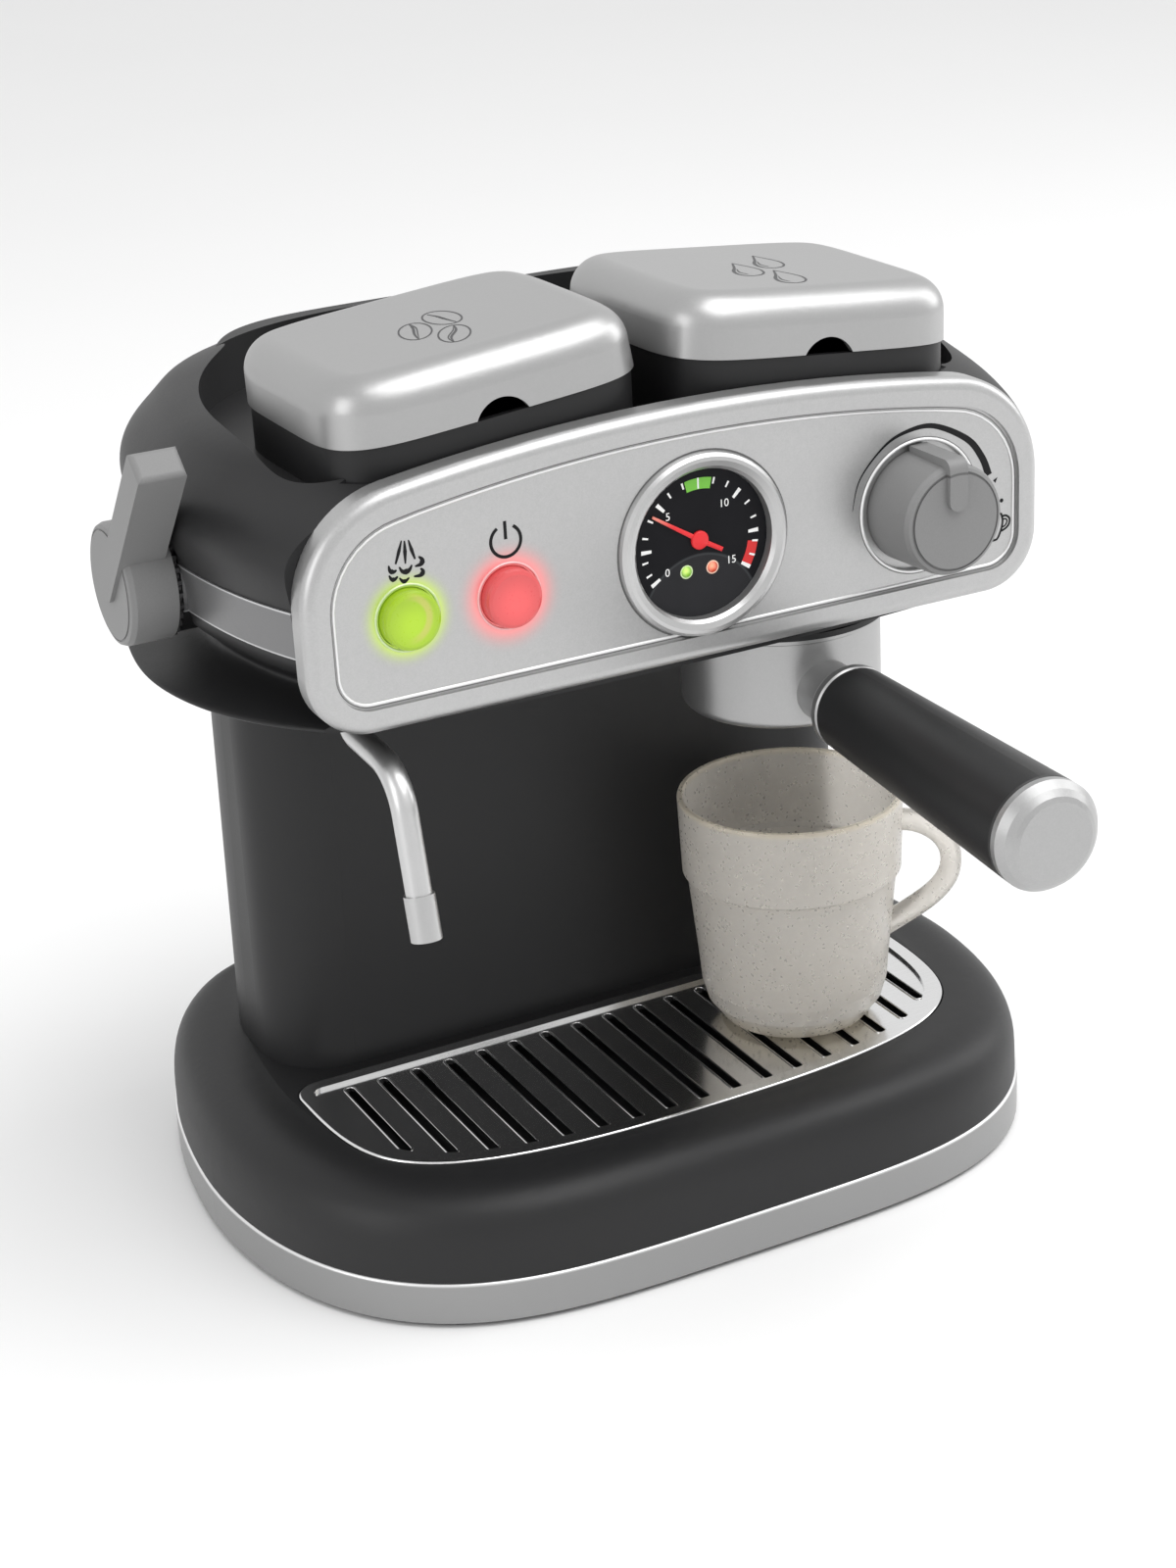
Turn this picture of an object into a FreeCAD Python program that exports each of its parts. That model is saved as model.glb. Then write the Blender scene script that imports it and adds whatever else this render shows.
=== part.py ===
import FreeCAD
import Part
import math
import os

# Toy espresso coffee maker, in millimetres. X runs to the right, Y to the back and Z up.
# The origin is the middle of the base, on the surface that it stands on.

Vector = FreeCAD.Vector
up = Vector(0, 0, 1)
back = Vector(0, 1, 0)
right = Vector(1, 0, 0)

# Clearances
running_clearance = 0.06
moving_gap = 0.3
wall = 2.5

# Base
base_half_width = 130.0
base_front = 98.7
base_back = 99.0
base_side_power = 3.9
base_round_power = 2.12
base_back_side_power = 7.5
base_back_round_power = 1.6
plate_bottom = 0.8
plate_lip = 0.7
plate_thickness = 2.5
plate_top = plate_bottom + plate_lip + plate_thickness
plate_inset = 0.8
ring_top = 14.0
ring_thickness = 3.0
base_top = 38.5
base_wall = 3.0
base_shoulder_side = 25.0
base_shoulder_front = 20.5
base_shoulder_back = 2.0
base_shoulder_power = 3.5
base_step = 0.6
foot_radius = 8.0
foot_sunk = 0.5
foot_x = 88.0
foot_y = 52.0

# Drip grate and the well under it
grate_half_width = 102.1
grate_back_y = 0.6
grate_middle_y = 44.7
grate_reach = 120.0
grate_side_power = 2.5
grate_front_power = 8.0
grate_top = 38.9
grate_thickness = 2.6
grate_rim_width = 4.6
grate_rim_height = 1.0
grate_corner = 8.0
slot_count = 17
slot_pitch = 10.85
slot_width = 2.6
slot_inset = 5.4
slot_back_inset = 7.8
well_floor = 27.0
well_ledge = 4.0

# Column
column_half_width = 101.0
column_top_half_width = 99.0
column_front = 5.2
column_back = 86.0
column_front_corner = 22.0
column_back_corner = 48.0
column_bottom = 22.0
column_draft = 1.6
socket_wall = 2.5
socket_ledge = 5.0

# Rear cover
cover_half_width = 43.0
cover_bottom = 52.0
cover_top = 158.0
cover_corner = 9.0
cover_thickness = 2.5
louvre_count = 7
louvre_pitch = 7.0
louvre_width = 2.6
louvre_length = 46.0
louvre_middle_z = 118.0

# Head housing: height, half width, front reach, back reach and how square the front sides are
head_bottom = 171.5
band_bottom = 196.5
band_top = 210.0
head_front = -67.0
head_front_round_power = 2.15
head_back_side_power = 6.0
head_back_round_power = 1.55
band_proud = 0.5
head_sections = [
    (head_bottom, 108.5, 65.2, 84.5, 2.6),
    (180.0, 113.1, 88.7, 87.6, 3.1),
    (190.0, 117.4, 110.0, 90.3, 3.6),
    (200.0, 120.8, 119.3, 92.4, 3.9),
    (212.0, 122.6, 119.3, 95.2, 3.8),
    (222.0, 125.2, 116.0, 96.8, 3.4),
    (230.0, 122.8, 107.0, 95.6, 2.8),
    (238.0, 114.6, 91.0, 92.1, 2.3),
    (244.0, 105.4, 77.0, 87.4, 2.2),
    (250.0, 94.5, 61.9, 80.0, 2.2),
]
recess_floor = 234.0
recess_half_width = 104.5
recess_middle_y = -15.0
recess_front_reach = 49.0
recess_back_reach = 91.0
recess_front_side_power = 5.5
recess_front_round_power = 4.5
recess_back_side_power = 3.5
recess_back_round_power = 2.15
web_top = 238.3
web_back = -58.0

# Front panel
panel_face = -74.4
panel_bead = 1.3
panel_half_width = 112.0
panel_bottom = 175.5
panel_crown = 246.6
panel_shoulder = 240.2
panel_top_corner = 31.0
panel_bottom_corner = 17.0
panel_bead_width = 7.0
panel_edge_round = 3.4

# Gauge
gauge_x = 3.5
gauge_z = 207.8
gauge_dial_radius = 20.7
gauge_bezel_radius = 25.7
gauge_bezel_height = 2.4
gauge_dial_depth = 1.8
gauge_dial_lap = 0.4
gauge_seat = 1.6

# Push buttons
button_radius = 8.0
button_z = 205.0
steam_button_x = -83.4
power_button_x = -54.5
button_proud = 4.2
button_travel = 2.5
button_wall = 1.4
button_flange = 1.6
button_tab_reach = 15.0
board_front = -58.0
board_thickness = 1.6
board_left = -101.0
board_right = -37.0
board_bottom = 186.5
board_top = 221.0
post_radius = 2.6
lamp_radius = 2.5
spring_wire = 0.6

# Selector knob on the front
selector_x = 72.2
selector_z = 205.6
selector_back_radius = 16.2
selector_front_radius = 15.5
selector_length = 18.2
selector_recess_radius = 18.6
selector_recess_depth = 1.4
knob_round = 2.0
knob_groove_inset = 1.6
knob_groove_width = 0.5
knob_groove_depth = 0.4
pointer_width = 5.8
pointer_height = 1.5
pointer_start = 3.2
knob_shaft_radius = 3.0
clip_width = 2.5
clip_thickness = 1.5

# Steam knob on the left side
steam_knob_y = 3.0
steam_knob_z = 203.2
steam_knob_radius = 17.2
steam_knob_length = 13.8
steam_boss_radius = 16.0
steam_boss_x = -122.2
steam_boss_depth = 12.0
steam_seat_margin = 1.8
steam_wheel_teeth = 30
steam_wheel_thickness = 1.3
steam_wheel_radius = 16.8
steam_wheel_tooth = 1.2
lever_angle = 42.0
lever_reach = 57.0
lever_width = 9.2
lever_thickness = 13.2
lever_proud = 1.2

# Group head and filter holder
group_x = 49.15
group_y = -35.7
bowl_radius = 29.2
bowl_bottom = 142.3
bowl_top = 168.0
bowl_wall = 2.7
bowl_floor = 4.0
outlet_radius = 3.0
water_pipe_wall = 1.2
group_flange_radius = 29.7
group_flange_thickness = 1.5
group_neck_inset = 6.1
bayonet_gap = 1.2
bayonet_wall = 1.3
hub_depth = 9.0
lug_reach = 36.0
lug_width = 9.0
lug_angle = 23.0
lug_drop = 4.2
handle_turn = -4.1
handle_z = 153.0
handle_boss_radius = 9.0
handle_ring_start = 40.0
handle_grip_start = 45.9
handle_grip_end = 143.5
handle_cap_end = 150.5
handle_start_radius = 12.4
handle_end_radius = 15.0
handle_face_radius = 10.5
handle_rod_radius = 4.0
handle_rod_seat = 0.9
handle_cap_seat = 3.0

# Steam wand
wand_x = -88.0
wand_y = -38.0
wand_radius = 3.6
wand_bore = 2.2
wand_run_z = 163.6
wand_run_drop = 2.0
wand_bend_y = -70.5
wand_end_y = -80.6
wand_end_z = 118.0
wand_elbow = 6.5
wand_bend = 15.0
nozzle_radius = 4.3
nozzle_length = 12.5
wand_collar_radius = 7.0
wand_collar_height = 3.0
wand_pivot_radius = 4.4

# Bean container, water tank and their lids
lid_x = 49.0
lid_y = -26.0
lid_plane = 250.5
lid_tilt = 5.43
lid_half_width = 45.9
lid_half_depth = 40.4
lid_power = 5.1
lid_height = 17.4
lid_round = 9.5
lid_wall = 2.0
lid_draft = 1.0
lid_gap = 0.35
notch_radius = 8.5
notch_height = 4.5
container_inset = 0.8
container_wall = 2.2
container_step = 3.2
container_fit = 0.15
container_bottom = 222.5
hinge_back = 3.8
hinge_rise = 1.6
hinge_pin_radius = 1.25
hinge_barrel_radius = 2.7
hinge_barrel_length = 12.0
hinge_barrel_x = 22.0

# Cup
cup_x = 50.9
cup_y = -35.9
cup_rim_radius = 33.8
cup_rim_z = 111.5
cup_step_z = 87.5
cup_step_radius = 33.0
cup_lower_radius = 31.6
cup_waist_z = 60.0
cup_waist_radius = 29.0
cup_foot_radius = 17.5
cup_wall = 1.8
cup_handle_angle = -30.0
cup_handle_width = 8.6
cup_handle_thickness = 6.4
cup_handle_top_z = 100.6
cup_handle_low_z = 66.0
cup_handle_reach = 48.6

# Battery box, speaker and inner parts
battery_radius = 7.1
battery_length = 50.0
battery_count = 3
battery_pitch = 15.4
battery_side_room = 0.6
battery_end_room = 3.0
battery_cap_radius = 2.6
contact_width = 10.0
contact_height = 14.0
contact_thickness = 0.5
battery_box_y = 46.0
battery_box_wall = 2.0
battery_box_height = 19.0
door_overlap = 3.0
door_thickness = 1.8
door_gap = 0.2
door_plug_height = 1.2
door_tab_half_width = 8.0
door_tab_reach = 7.0
door_post_height = 3.0
speaker_radius = 22.0
speaker_depth = 9.0
screw_radius = 1.5
screw_head_radius = 2.8
screw_head_height = 1.2
screw_fit = 0.2
screw_post_radius = 3.4
screw_cross = 2.6
screw_cross_width = 0.7
screw_cross_depth = 0.7
base_screw_length = 13.0
cover_screw_length = 10.0
door_screw_length = 5.5
base_screw_x = 108.0
base_screw_y = 18.0
outline_count = 40


def save(name, shape):
    """Writes one piece and prints its volume and box."""
    if not shape.isValid():
        print("NOT VALID", name)
    box = shape.BoundBox
    print("%-22s solids %d volume %.0f box %.1f..%.1f %.1f..%.1f %.1f..%.1f" % (
        name, len(shape.Solids), shape.Volume,
        box.XMin, box.XMax, box.YMin, box.YMax, box.ZMin, box.ZMax))
    shape.exportStep("parts/%s.step" % name)


def joined(first, *others):
    """One solid from pieces that touch or cross."""
    return first.multiFuse(list(others)).removeSplitter()


def slab(x0, x1, y0, y1, z0, z1):
    """A box between two corners."""
    return Part.makeBox(x1 - x0, y1 - y0, z1 - z0, Vector(x0, y0, z0))


def half_space(z0, z1):
    """A wide slab that keeps what lies between two heights."""
    return slab(-300, 300, -300, 300, z0, z1)


def rod(radius, start, end):
    """A round rod between two points."""
    return Part.makeCylinder(radius, (end - start).Length, start, end - start)


def tube(outer, inner, start, end):
    """A round tube between two points."""
    return rod(outer, start, end).cut(rod(inner, start, end))


def outline_reach(angle, half_x, reach_y, side_power, round_power):
    """How far the curve |x/a|^p + |y/b|^q = 1 is from its middle, along an angle."""
    low = 0.0
    high = half_x + reach_y
    for step in range(50):
        middle = (low + high) / 2
        across = abs(middle * math.cos(angle)) / half_x
        along = abs(middle * math.sin(angle)) / reach_y
        if across ** side_power + along ** round_power > 1:
            high = middle
        else:
            low = middle
    return low


def outline(z, half_x, front, rear, front_powers, rear_powers):
    """A closed plan outline, whose front and back halves each follow their own curve."""
    points = []
    for index in range(outline_count):
        angle = 2 * math.pi * index / outline_count
        behind = math.sin(angle) > 0
        reach_y = rear if behind else front
        side_power, round_power = rear_powers if behind else front_powers
        reach = outline_reach(angle, half_x, reach_y, side_power, round_power)
        points.append(Vector(reach * math.cos(angle), reach * math.sin(angle), z))
    curve = Part.BSplineCurve()
    curve.interpolate(Points=points, PeriodicFlag=True, Parameters=list(range(outline_count + 1)))
    quarter = outline_count / 4
    edges = [curve.toShape(turn * quarter, (turn + 1) * quarter) for turn in range(4)]
    return Part.Wire(edges)


def prism(wire, height):
    """A wire's area, raised by a height."""
    return Part.Face(wire).extrude(up * height)


def moved(shape, x, y, z):
    """A copy of a shape, moved."""
    copy = shape.copy()
    copy.translate(Vector(x, y, z))
    return copy


def base_outline(z, inset, curl=0.0):
    """The plan of the base, drawn in by an inset and by a share of its shoulders."""
    return outline(z, base_half_width - inset - base_shoulder_side * curl,
                   base_front - inset - base_shoulder_front * curl,
                   base_back - inset - base_shoulder_back * curl,
                   (base_side_power, base_round_power), (base_back_side_power, base_back_round_power))


def base_dome(inset, bottom, top):
    """The rounded upper body of the base: its sides curl over to a flat top."""
    wires = []
    steps = 6
    for step in range(steps + 1):
        turn = math.pi / 2 * step / steps
        z = bottom + (top - bottom) * math.sin(turn) ** (2 / base_shoulder_power)
        curl = 1 - math.cos(turn) ** (2 / base_shoulder_power)
        wires.append(base_outline(z, base_step + inset, curl))
    return Part.makeLoft(wires, True, False)


def rounded_plan(z, half_x, y0, y1, front_corner, back_corner):
    """A plan with straight sides, small front corners and large back corners."""
    lines = []
    corners = [
        (Vector(half_x, y1, z), back_corner, -1, -1, 0),
        (Vector(-half_x, y1, z), back_corner, 1, -1, 90),
        (Vector(-half_x, y0, z), front_corner, 1, 1, 180),
        (Vector(half_x, y0, z), front_corner, -1, 1, 270),
    ]
    arcs = []
    for corner, radius, towards_x, towards_y, start in corners:
        centre = Vector(corner.x + towards_x * radius, corner.y + towards_y * radius, z)
        points = []
        for turn in (0, 45, 90):
            angle = math.radians(start + turn)
            points.append(centre + Vector(math.cos(angle), math.sin(angle), 0) * radius)
        arcs.append(points)
    for index, points in enumerate(arcs):
        lines.append(Part.Arc(points[0], points[1], points[2]).toShape())
        following = arcs[(index + 1) % len(arcs)]
        lines.append(Part.LineSegment(points[2], following[0]).toShape())
    return Part.Wire(lines)


def column_body(inset, bottom, top):
    """The column between two heights, drawn in by an inset; it narrows a little upwards."""
    wires = []
    for z in (bottom, top):
        share = (z - column_bottom) / (head_bottom - column_bottom)
        half_x = column_half_width + (column_top_half_width - column_half_width) * share
        y0 = column_front + column_draft * share
        y1 = column_back - column_draft * share
        wires.append(rounded_plan(z, half_x - inset, y0 + inset, y1 - inset,
                                  column_front_corner - inset, column_back_corner - inset))
    return Part.makeLoft(wires, True, True)


def head_body(inset):
    """The swelling body of the head, drawn in by an inset on every side."""
    wires = []
    for z, half_x, front, rear, front_power in head_sections:
        wires.append(outline(z, half_x - inset, front - inset, rear - inset,
                             (front_power, head_front_round_power),
                             (head_back_side_power, head_back_round_power)))
    return Part.makeLoft(wires, True, False)


def grate_front_y(x, inset):
    """The front edge of the grate, drawn in by an inset, at a place across it."""
    across = abs(x) / (grate_half_width - inset)
    reach = (grate_reach - inset) * (1 - across ** grate_side_power) ** (1 / grate_front_power)
    return grate_middle_y - reach


def grate_area(inset, z0, z1):
    """The flat-backed outline of the grate between two heights."""
    powers = (grate_side_power, grate_front_power)
    wire = outline(z0, grate_half_width - inset, grate_reach - inset, grate_reach - inset, powers, powers)
    body = moved(prism(wire, z1 - z0), 0, grate_middle_y, 0)
    body = body.common(slab(-200, 200, -200, grate_back_y - inset, z0, z1))
    corners = [edge for edge in body.Edges if edge.BoundBox.ZLength > 0.5
               and edge.BoundBox.XLength < 0.01 and edge.BoundBox.YMin > grate_back_y - inset - 1]
    return body.makeFillet(grate_corner - inset, corners)


def loaf(grow, y0, y1):
    """The panel's bread-loaf outline, grown by an amount, between two depths."""
    half_x = panel_half_width + grow
    bottom = panel_bottom - grow
    shoulder = panel_shoulder + grow
    left_low = Vector(-half_x, y0, bottom)
    right_low = Vector(half_x, y0, bottom)
    left_high = Vector(-half_x, y0, shoulder - 5)
    right_high = Vector(half_x, y0, shoulder - 5)
    crown = Vector(0, y0, panel_crown + grow)
    edges = [
        Part.LineSegment(left_low, right_low).toShape(),
        Part.LineSegment(right_low, right_high).toShape(),
        Part.Arc(right_high, crown, left_high).toShape(),
        Part.LineSegment(left_high, left_low).toShape(),
    ]
    body = Part.Face(Part.Wire(edges)).extrude(back * (y1 - y0))
    high = [edge for edge in edges_running_back(body) if edge.BoundBox.ZMin > bottom + 1]
    body = body.makeFillet(panel_top_corner + grow, high)
    low = [edge for edge in edges_running_back(body) if edge.BoundBox.ZMin < bottom + 1]
    return body.makeFillet(panel_bottom_corner + grow, low)


def edges_running_back(shape):
    """The straight edges that run from front to back."""
    return [edge for edge in shape.Edges
            if len(edge.Vertexes) == 2
            and abs(edge.Vertexes[0].Point.y - edge.Vertexes[1].Point.y) > 0.5]


def edges_at_y(shape, y):
    """The edges that lie wholly at one depth."""
    return [edge for edge in shape.Edges
            if abs(edge.BoundBox.YMin - y) < 0.01 and abs(edge.BoundBox.YMax - y) < 0.01]


def edges_at_z(shape, z):
    """The edges that lie wholly at one height."""
    return [edge for edge in shape.Edges
            if abs(edge.BoundBox.ZMin - z) < 0.01 and abs(edge.BoundBox.ZMax - z) < 0.01]


def turned_profile(points, centre, axis, radial):
    """A solid of revolution from (distance along the axis, radius) pairs."""
    places = [centre + axis * along + radial * radius for along, radius in points]
    places.append(places[0])
    return Part.Face(Part.makePolygon(places)).revolve(centre, axis, 360)


# Base

def make_base_plate():
    lip = prism(base_outline(plate_bottom, plate_inset), plate_lip)
    plate = prism(base_outline(plate_bottom + plate_lip, ring_thickness), plate_thickness)
    body = joined(lip, plate)
    for foot in foot_places():
        body = body.cut(rod(foot_radius, foot, foot + up * (plate_bottom + foot_sunk)))
    body = body.cut(battery_opening(0, -1, plate_top + 1))
    body = body.cut(door_area(0, -1, plate_bottom + door_thickness))
    door_screw = battery_door_screw_place()
    post_foot = door_screw + up * (plate_top - 0.5)
    post = rod(screw_post_radius, post_foot, door_screw + up * (plate_top + door_post_height))
    body = joined(body, post).cut(rod(screw_radius - screw_fit, door_screw, door_screw + up * 20))
    for place in base_screw_places():
        body = body.cut(rod(screw_radius, place, place + up * 10))
        body = body.cut(rod(screw_head_radius, place, place + up * (plate_bottom + screw_head_height)))
    return body


def foot_places():
    corners = [Vector(x, y, 0) for x in (-foot_x, foot_x) for y in (-foot_y, foot_y)]
    return corners + [Vector(0, 0, 0)]


def base_screw_places():
    return [Vector(x, y, 0) for x in (-base_screw_x, base_screw_x) for y in (-base_screw_y, base_screw_y)]


def battery_box_half():
    return battery_count * battery_pitch / 2 + battery_side_room


def battery_opening(grow, z0, z1):
    """The opening that the batteries go in through, grown all round."""
    half_x = battery_length / 2 + battery_end_room + grow
    half_y = battery_box_half() + grow
    return slab(-half_x, half_x, battery_box_y - half_y, battery_box_y + half_y, z0, z1)


def door_area(inset, z0, z1):
    """The battery door's outline with its screw tab, drawn in all round."""
    tab_back = battery_box_y + battery_box_half() + door_overlap + door_tab_reach
    half = door_tab_half_width - inset
    tab = slab(-half, half, battery_box_y, tab_back - inset, z0, z1)
    return joined(battery_opening(door_overlap - inset, z0, z1), tab)


def make_feet():
    solids = []
    for foot in foot_places():
        pad = rod(foot_radius - 0.1, foot, foot + up * (plate_bottom + foot_sunk))
        solids.append(pad.makeChamfer(0.4, edges_at_z(pad, 0)))
    return Part.makeCompound(solids)


def make_base_ring():
    bottom = plate_bottom + plate_lip
    outer = prism(base_outline(bottom, 0), ring_top - bottom)
    outer = outer.makeFillet(0.8, edges_at_z(outer, ring_top))
    return outer.cut(prism(base_outline(bottom - 1, ring_thickness), ring_top + 5))


def make_base_shell():
    dome = base_dome(0, ring_top, base_top)
    skirt = prism(base_outline(plate_top, ring_thickness), ring_top - plate_top + 0.5)
    hollow = base_dome(base_wall, ring_top, base_top - base_wall)
    low_hollow = prism(base_outline(plate_top - 1, ring_thickness + base_wall),
                       ring_top - plate_top + 1.5)
    body = joined(dome, skirt).cut(hollow).cut(low_hollow)
    well = grate_area(well_ledge - base_wall, well_floor - base_wall, base_top - 1)
    body = joined(body, well)
    body = body.cut(grate_area(well_ledge, well_floor, base_top + 1))
    seat_bottom = grate_top - grate_thickness - moving_gap
    body = body.cut(grate_area(-moving_gap, seat_bottom, base_top + 1))
    socket_bottom = column_bottom - socket_wall
    socket = column_body(-socket_wall, socket_bottom, base_top)
    socket = socket.common(base_dome(0.2, ring_top, base_top - 0.2))
    body = joined(body, socket)
    body = body.cut(column_body(0, column_bottom, base_top + 1))
    body = body.cut(column_body(socket_ledge, socket_bottom - 5, column_bottom + 1))
    posts = []
    for place in base_screw_places():
        post = rod(screw_post_radius, place + up * plate_top, place + up * (base_top - base_wall + 0.5))
        posts.append(post)
    body = joined(body, *posts)
    for place in base_screw_places():
        body = body.cut(rod(screw_radius - screw_fit, place, place + up * (plate_top + 12)))
    return body


def make_drip_grate():
    bottom = grate_top - grate_thickness
    plate = grate_area(0, bottom, grate_top)
    plate = plate.makeFillet(0.7, edges_at_z(plate, grate_top))
    plate = plate.cut(grate_area(grate_rim_width, grate_top - grate_rim_height, grate_top + 1))
    slots = []
    half = slot_width / 2
    for index in range(slot_count):
        x = (index - (slot_count - 1) / 2) * slot_pitch
        front_y = grate_front_y(x, slot_inset) + half
        back_y = grate_back_y - slot_back_inset - half
        slots.append(slab(x - half, x + half, front_y, back_y, bottom - 1, grate_top + 1))
        for y in (front_y, back_y):
            slots.append(rod(half, Vector(x, y, bottom - 1), Vector(x, y, grate_top + 1)))
    return plate.cut(slots[0].multiFuse(slots[1:]))


# Column and its inner parts

def make_column_shell():
    body = column_body(0, column_bottom, head_bottom)
    body = body.cut(column_body(wall, column_bottom - 1, head_bottom + 1))
    body = body.cut(cover_window(0.15))
    frame = cover_window(4.0).cut(cover_window(-3.0))
    frame = moved(frame, 0, -cover_thickness, 0).common(column_body(0.1, column_bottom, head_bottom))
    body = joined(body, frame.cut(cover_window(0.15)))
    for place in cover_screw_places():
        body = body.cut(rod(screw_radius - screw_fit, place, place - back * 12))
    return body


def cover_window(grow):
    """The rear cover's block, grown all round."""
    depth = cover_thickness
    body = slab(-cover_half_width - grow, cover_half_width + grow,
                column_back - depth - column_draft, column_back + 5, cover_bottom - grow, cover_top + grow)
    return body.makeFillet(cover_corner + grow, edges_running_back(body))


def cover_screw_places():
    inset = 5.5
    return [Vector(x, column_back, z)
            for x in (inset - cover_half_width, cover_half_width - inset)
            for z in (cover_bottom + inset, cover_top - inset)]


def make_rear_cover():
    body = cover_window(0).common(column_body(0, column_bottom, head_bottom))
    for index in range(louvre_count):
        z = louvre_middle_z + (index - (louvre_count - 1) / 2) * louvre_pitch
        slot = slab(-louvre_length / 2, louvre_length / 2, column_back - 20, column_back + 5,
                    z - louvre_width / 2, z + louvre_width / 2)
        body = body.cut(slot)
    for place in cover_screw_places():
        body = body.cut(rod(screw_radius, place + back * 2, place - back * 12))
        head_seat = place - back * (column_draft + screw_head_height)
        body = body.cut(rod(screw_head_radius, place + back * 2, head_seat))
    ring_start = Vector(0, column_back - cover_thickness - column_draft + 0.5, louvre_middle_z)
    ring = tube(speaker_radius + 2.2, speaker_radius + 0.2, ring_start, ring_start - back * 6.5)
    return joined(body, ring)


def make_speaker():
    start = Vector(0, column_back - cover_thickness - column_draft - 0.5, louvre_middle_z)
    rim = rod(speaker_radius, start, start - back * 2)
    cone = Part.makeCone(speaker_radius - 1, speaker_radius * 0.55, speaker_depth - 3,
                         start - back * 2, back * -1)
    magnet = rod(speaker_radius * 0.5, start - back * (speaker_depth - 3), start - back * (speaker_depth + 4))
    return joined(rim, cone, magnet)


def screw(place, direction, length):
    """A pan-head screw whose head starts at a place and whose shank goes along a direction."""
    head = rod(screw_head_radius - screw_fit, place, place + direction * screw_head_height)
    shank = rod(screw_radius - screw_fit, place + direction * screw_head_height, place + direction * length)
    body = joined(head, shank)
    other = up if abs(direction.y) > 0.5 else back
    for along, across in ((right, other), (other, right)):
        near = place - along * (screw_cross / 2) - across * (screw_cross_width / 2)
        far = near + along * screw_cross
        wide = across * screw_cross_width
        arm = Part.Face(Part.makePolygon([near, far, far + wide, near + wide, near]))
        body = body.cut(arm.extrude(direction * screw_cross_depth))
    return body


def make_cover_screws():
    inward = back * -1
    return Part.makeCompound([screw(place - back * column_draft, inward, cover_screw_length)
                              for place in cover_screw_places()])


def make_base_screws():
    return Part.makeCompound([screw(place + up * plate_bottom, up, base_screw_length)
                              for place in base_screw_places()])


def make_battery_box():
    outer = battery_opening(battery_box_wall, plate_top, plate_top + battery_box_height)
    hollow = battery_opening(0, plate_top - 1, plate_top + battery_box_height - battery_box_wall)
    return outer.cut(hollow)


def make_batteries():
    solids = []
    z = plate_top + battery_box_height - battery_box_wall - battery_radius - moving_gap
    for index in range(battery_count):
        y = battery_box_y + (index - (battery_count - 1) / 2) * battery_pitch
        direction = 1 if index % 2 == 0 else -1
        start = Vector(-direction * (battery_length / 2 - 1), y, z)
        end = Vector(direction * (battery_length / 2 - 2), y, z)
        can = rod(battery_radius, start, end)
        cap = rod(battery_cap_radius, end, end + right * direction * 1.4)
        solids.append(joined(can, cap))
    return Part.makeCompound(solids)


def make_battery_contacts():
    solids = []
    top = plate_top + battery_box_height - battery_box_wall
    for side in (-1, 1):
        for index in range(battery_count):
            y = battery_box_y + (index - (battery_count - 1) / 2) * battery_pitch
            x0, x1 = sorted((side * (battery_length / 2 + battery_end_room),
                             side * (battery_length / 2 + battery_end_room - contact_thickness)))
            y0 = y - contact_width / 2
            solids.append(slab(x0, x1, y0, y0 + contact_width, top - contact_height, top))
    return Part.makeCompound(solids)


def make_battery_door():
    door_top = plate_bottom + door_thickness
    door = door_area(door_gap, plate_bottom, door_top)
    plug = battery_opening(-moving_gap, door_top, door_top + door_plug_height)
    screw_place = battery_door_screw_place()
    body = joined(door, plug)
    body = body.cut(rod(screw_radius, screw_place, screw_place + up * 20))
    head_seat = screw_place + up * (plate_bottom + screw_head_height)
    return body.cut(rod(screw_head_radius, screw_place, head_seat))


def make_battery_door_screw():
    return screw(battery_door_screw_place() + up * plate_bottom, up, door_screw_length)


def battery_door_screw_place():
    return Vector(0, battery_box_y + battery_box_half() + door_overlap + door_tab_reach / 2, 0)


# Head housing

def side_boss(z0, z1):
    """The part between two heights of the round boss that carries the steam knob."""
    boss = rod(steam_boss_radius, Vector(steam_boss_x + steam_boss_depth, steam_knob_y, steam_knob_z),
               Vector(steam_boss_x, steam_knob_y, steam_knob_z))
    return boss.common(half_space(z0, z1))


def head_slice(z0, z1, grow):
    """The hollow wall of the head between two heights, open at the front."""
    keep = slab(-300, 300, head_front, 300, z0, z1)
    return head_body(-grow).common(keep).cut(head_body(wall))


def steam_knob_seat():
    """The shaft hole and the flat round seat that the steam knob turns in."""
    face = Vector(steam_boss_x, steam_knob_y, steam_knob_z)
    seat = rod(steam_knob_radius + steam_seat_margin, face, face - right * 20)
    return seat.fuse(steam_shaft_hole())


def steam_shaft_hole():
    return rod(knob_shaft_radius + running_clearance, Vector(steam_boss_x - 10, steam_knob_y, steam_knob_z),
               Vector(steam_boss_x + 30, steam_knob_y, steam_knob_z))


def make_head_lower():
    body = joined(head_slice(head_bottom, band_bottom, 0), side_boss(head_bottom, band_bottom))
    floor = head_body(0.5).common(slab(-300, 300, head_front, 300, head_bottom, head_bottom + wall))
    body = joined(body, floor)
    group = Vector(group_x, group_y, head_bottom - 1)
    body = body.cut(rod(outlet_radius + 2, group, group + up * 5))
    wand = Vector(wand_x, wand_y, head_bottom - 1)
    body = body.cut(rod(wand_pivot_radius + running_clearance, wand, wand + up * 5))
    return body.cut(steam_knob_seat())


def make_head_band():
    body = joined(head_slice(band_bottom, band_top, band_proud), side_boss(band_bottom, band_top))
    return body.cut(steam_knob_seat())


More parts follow.
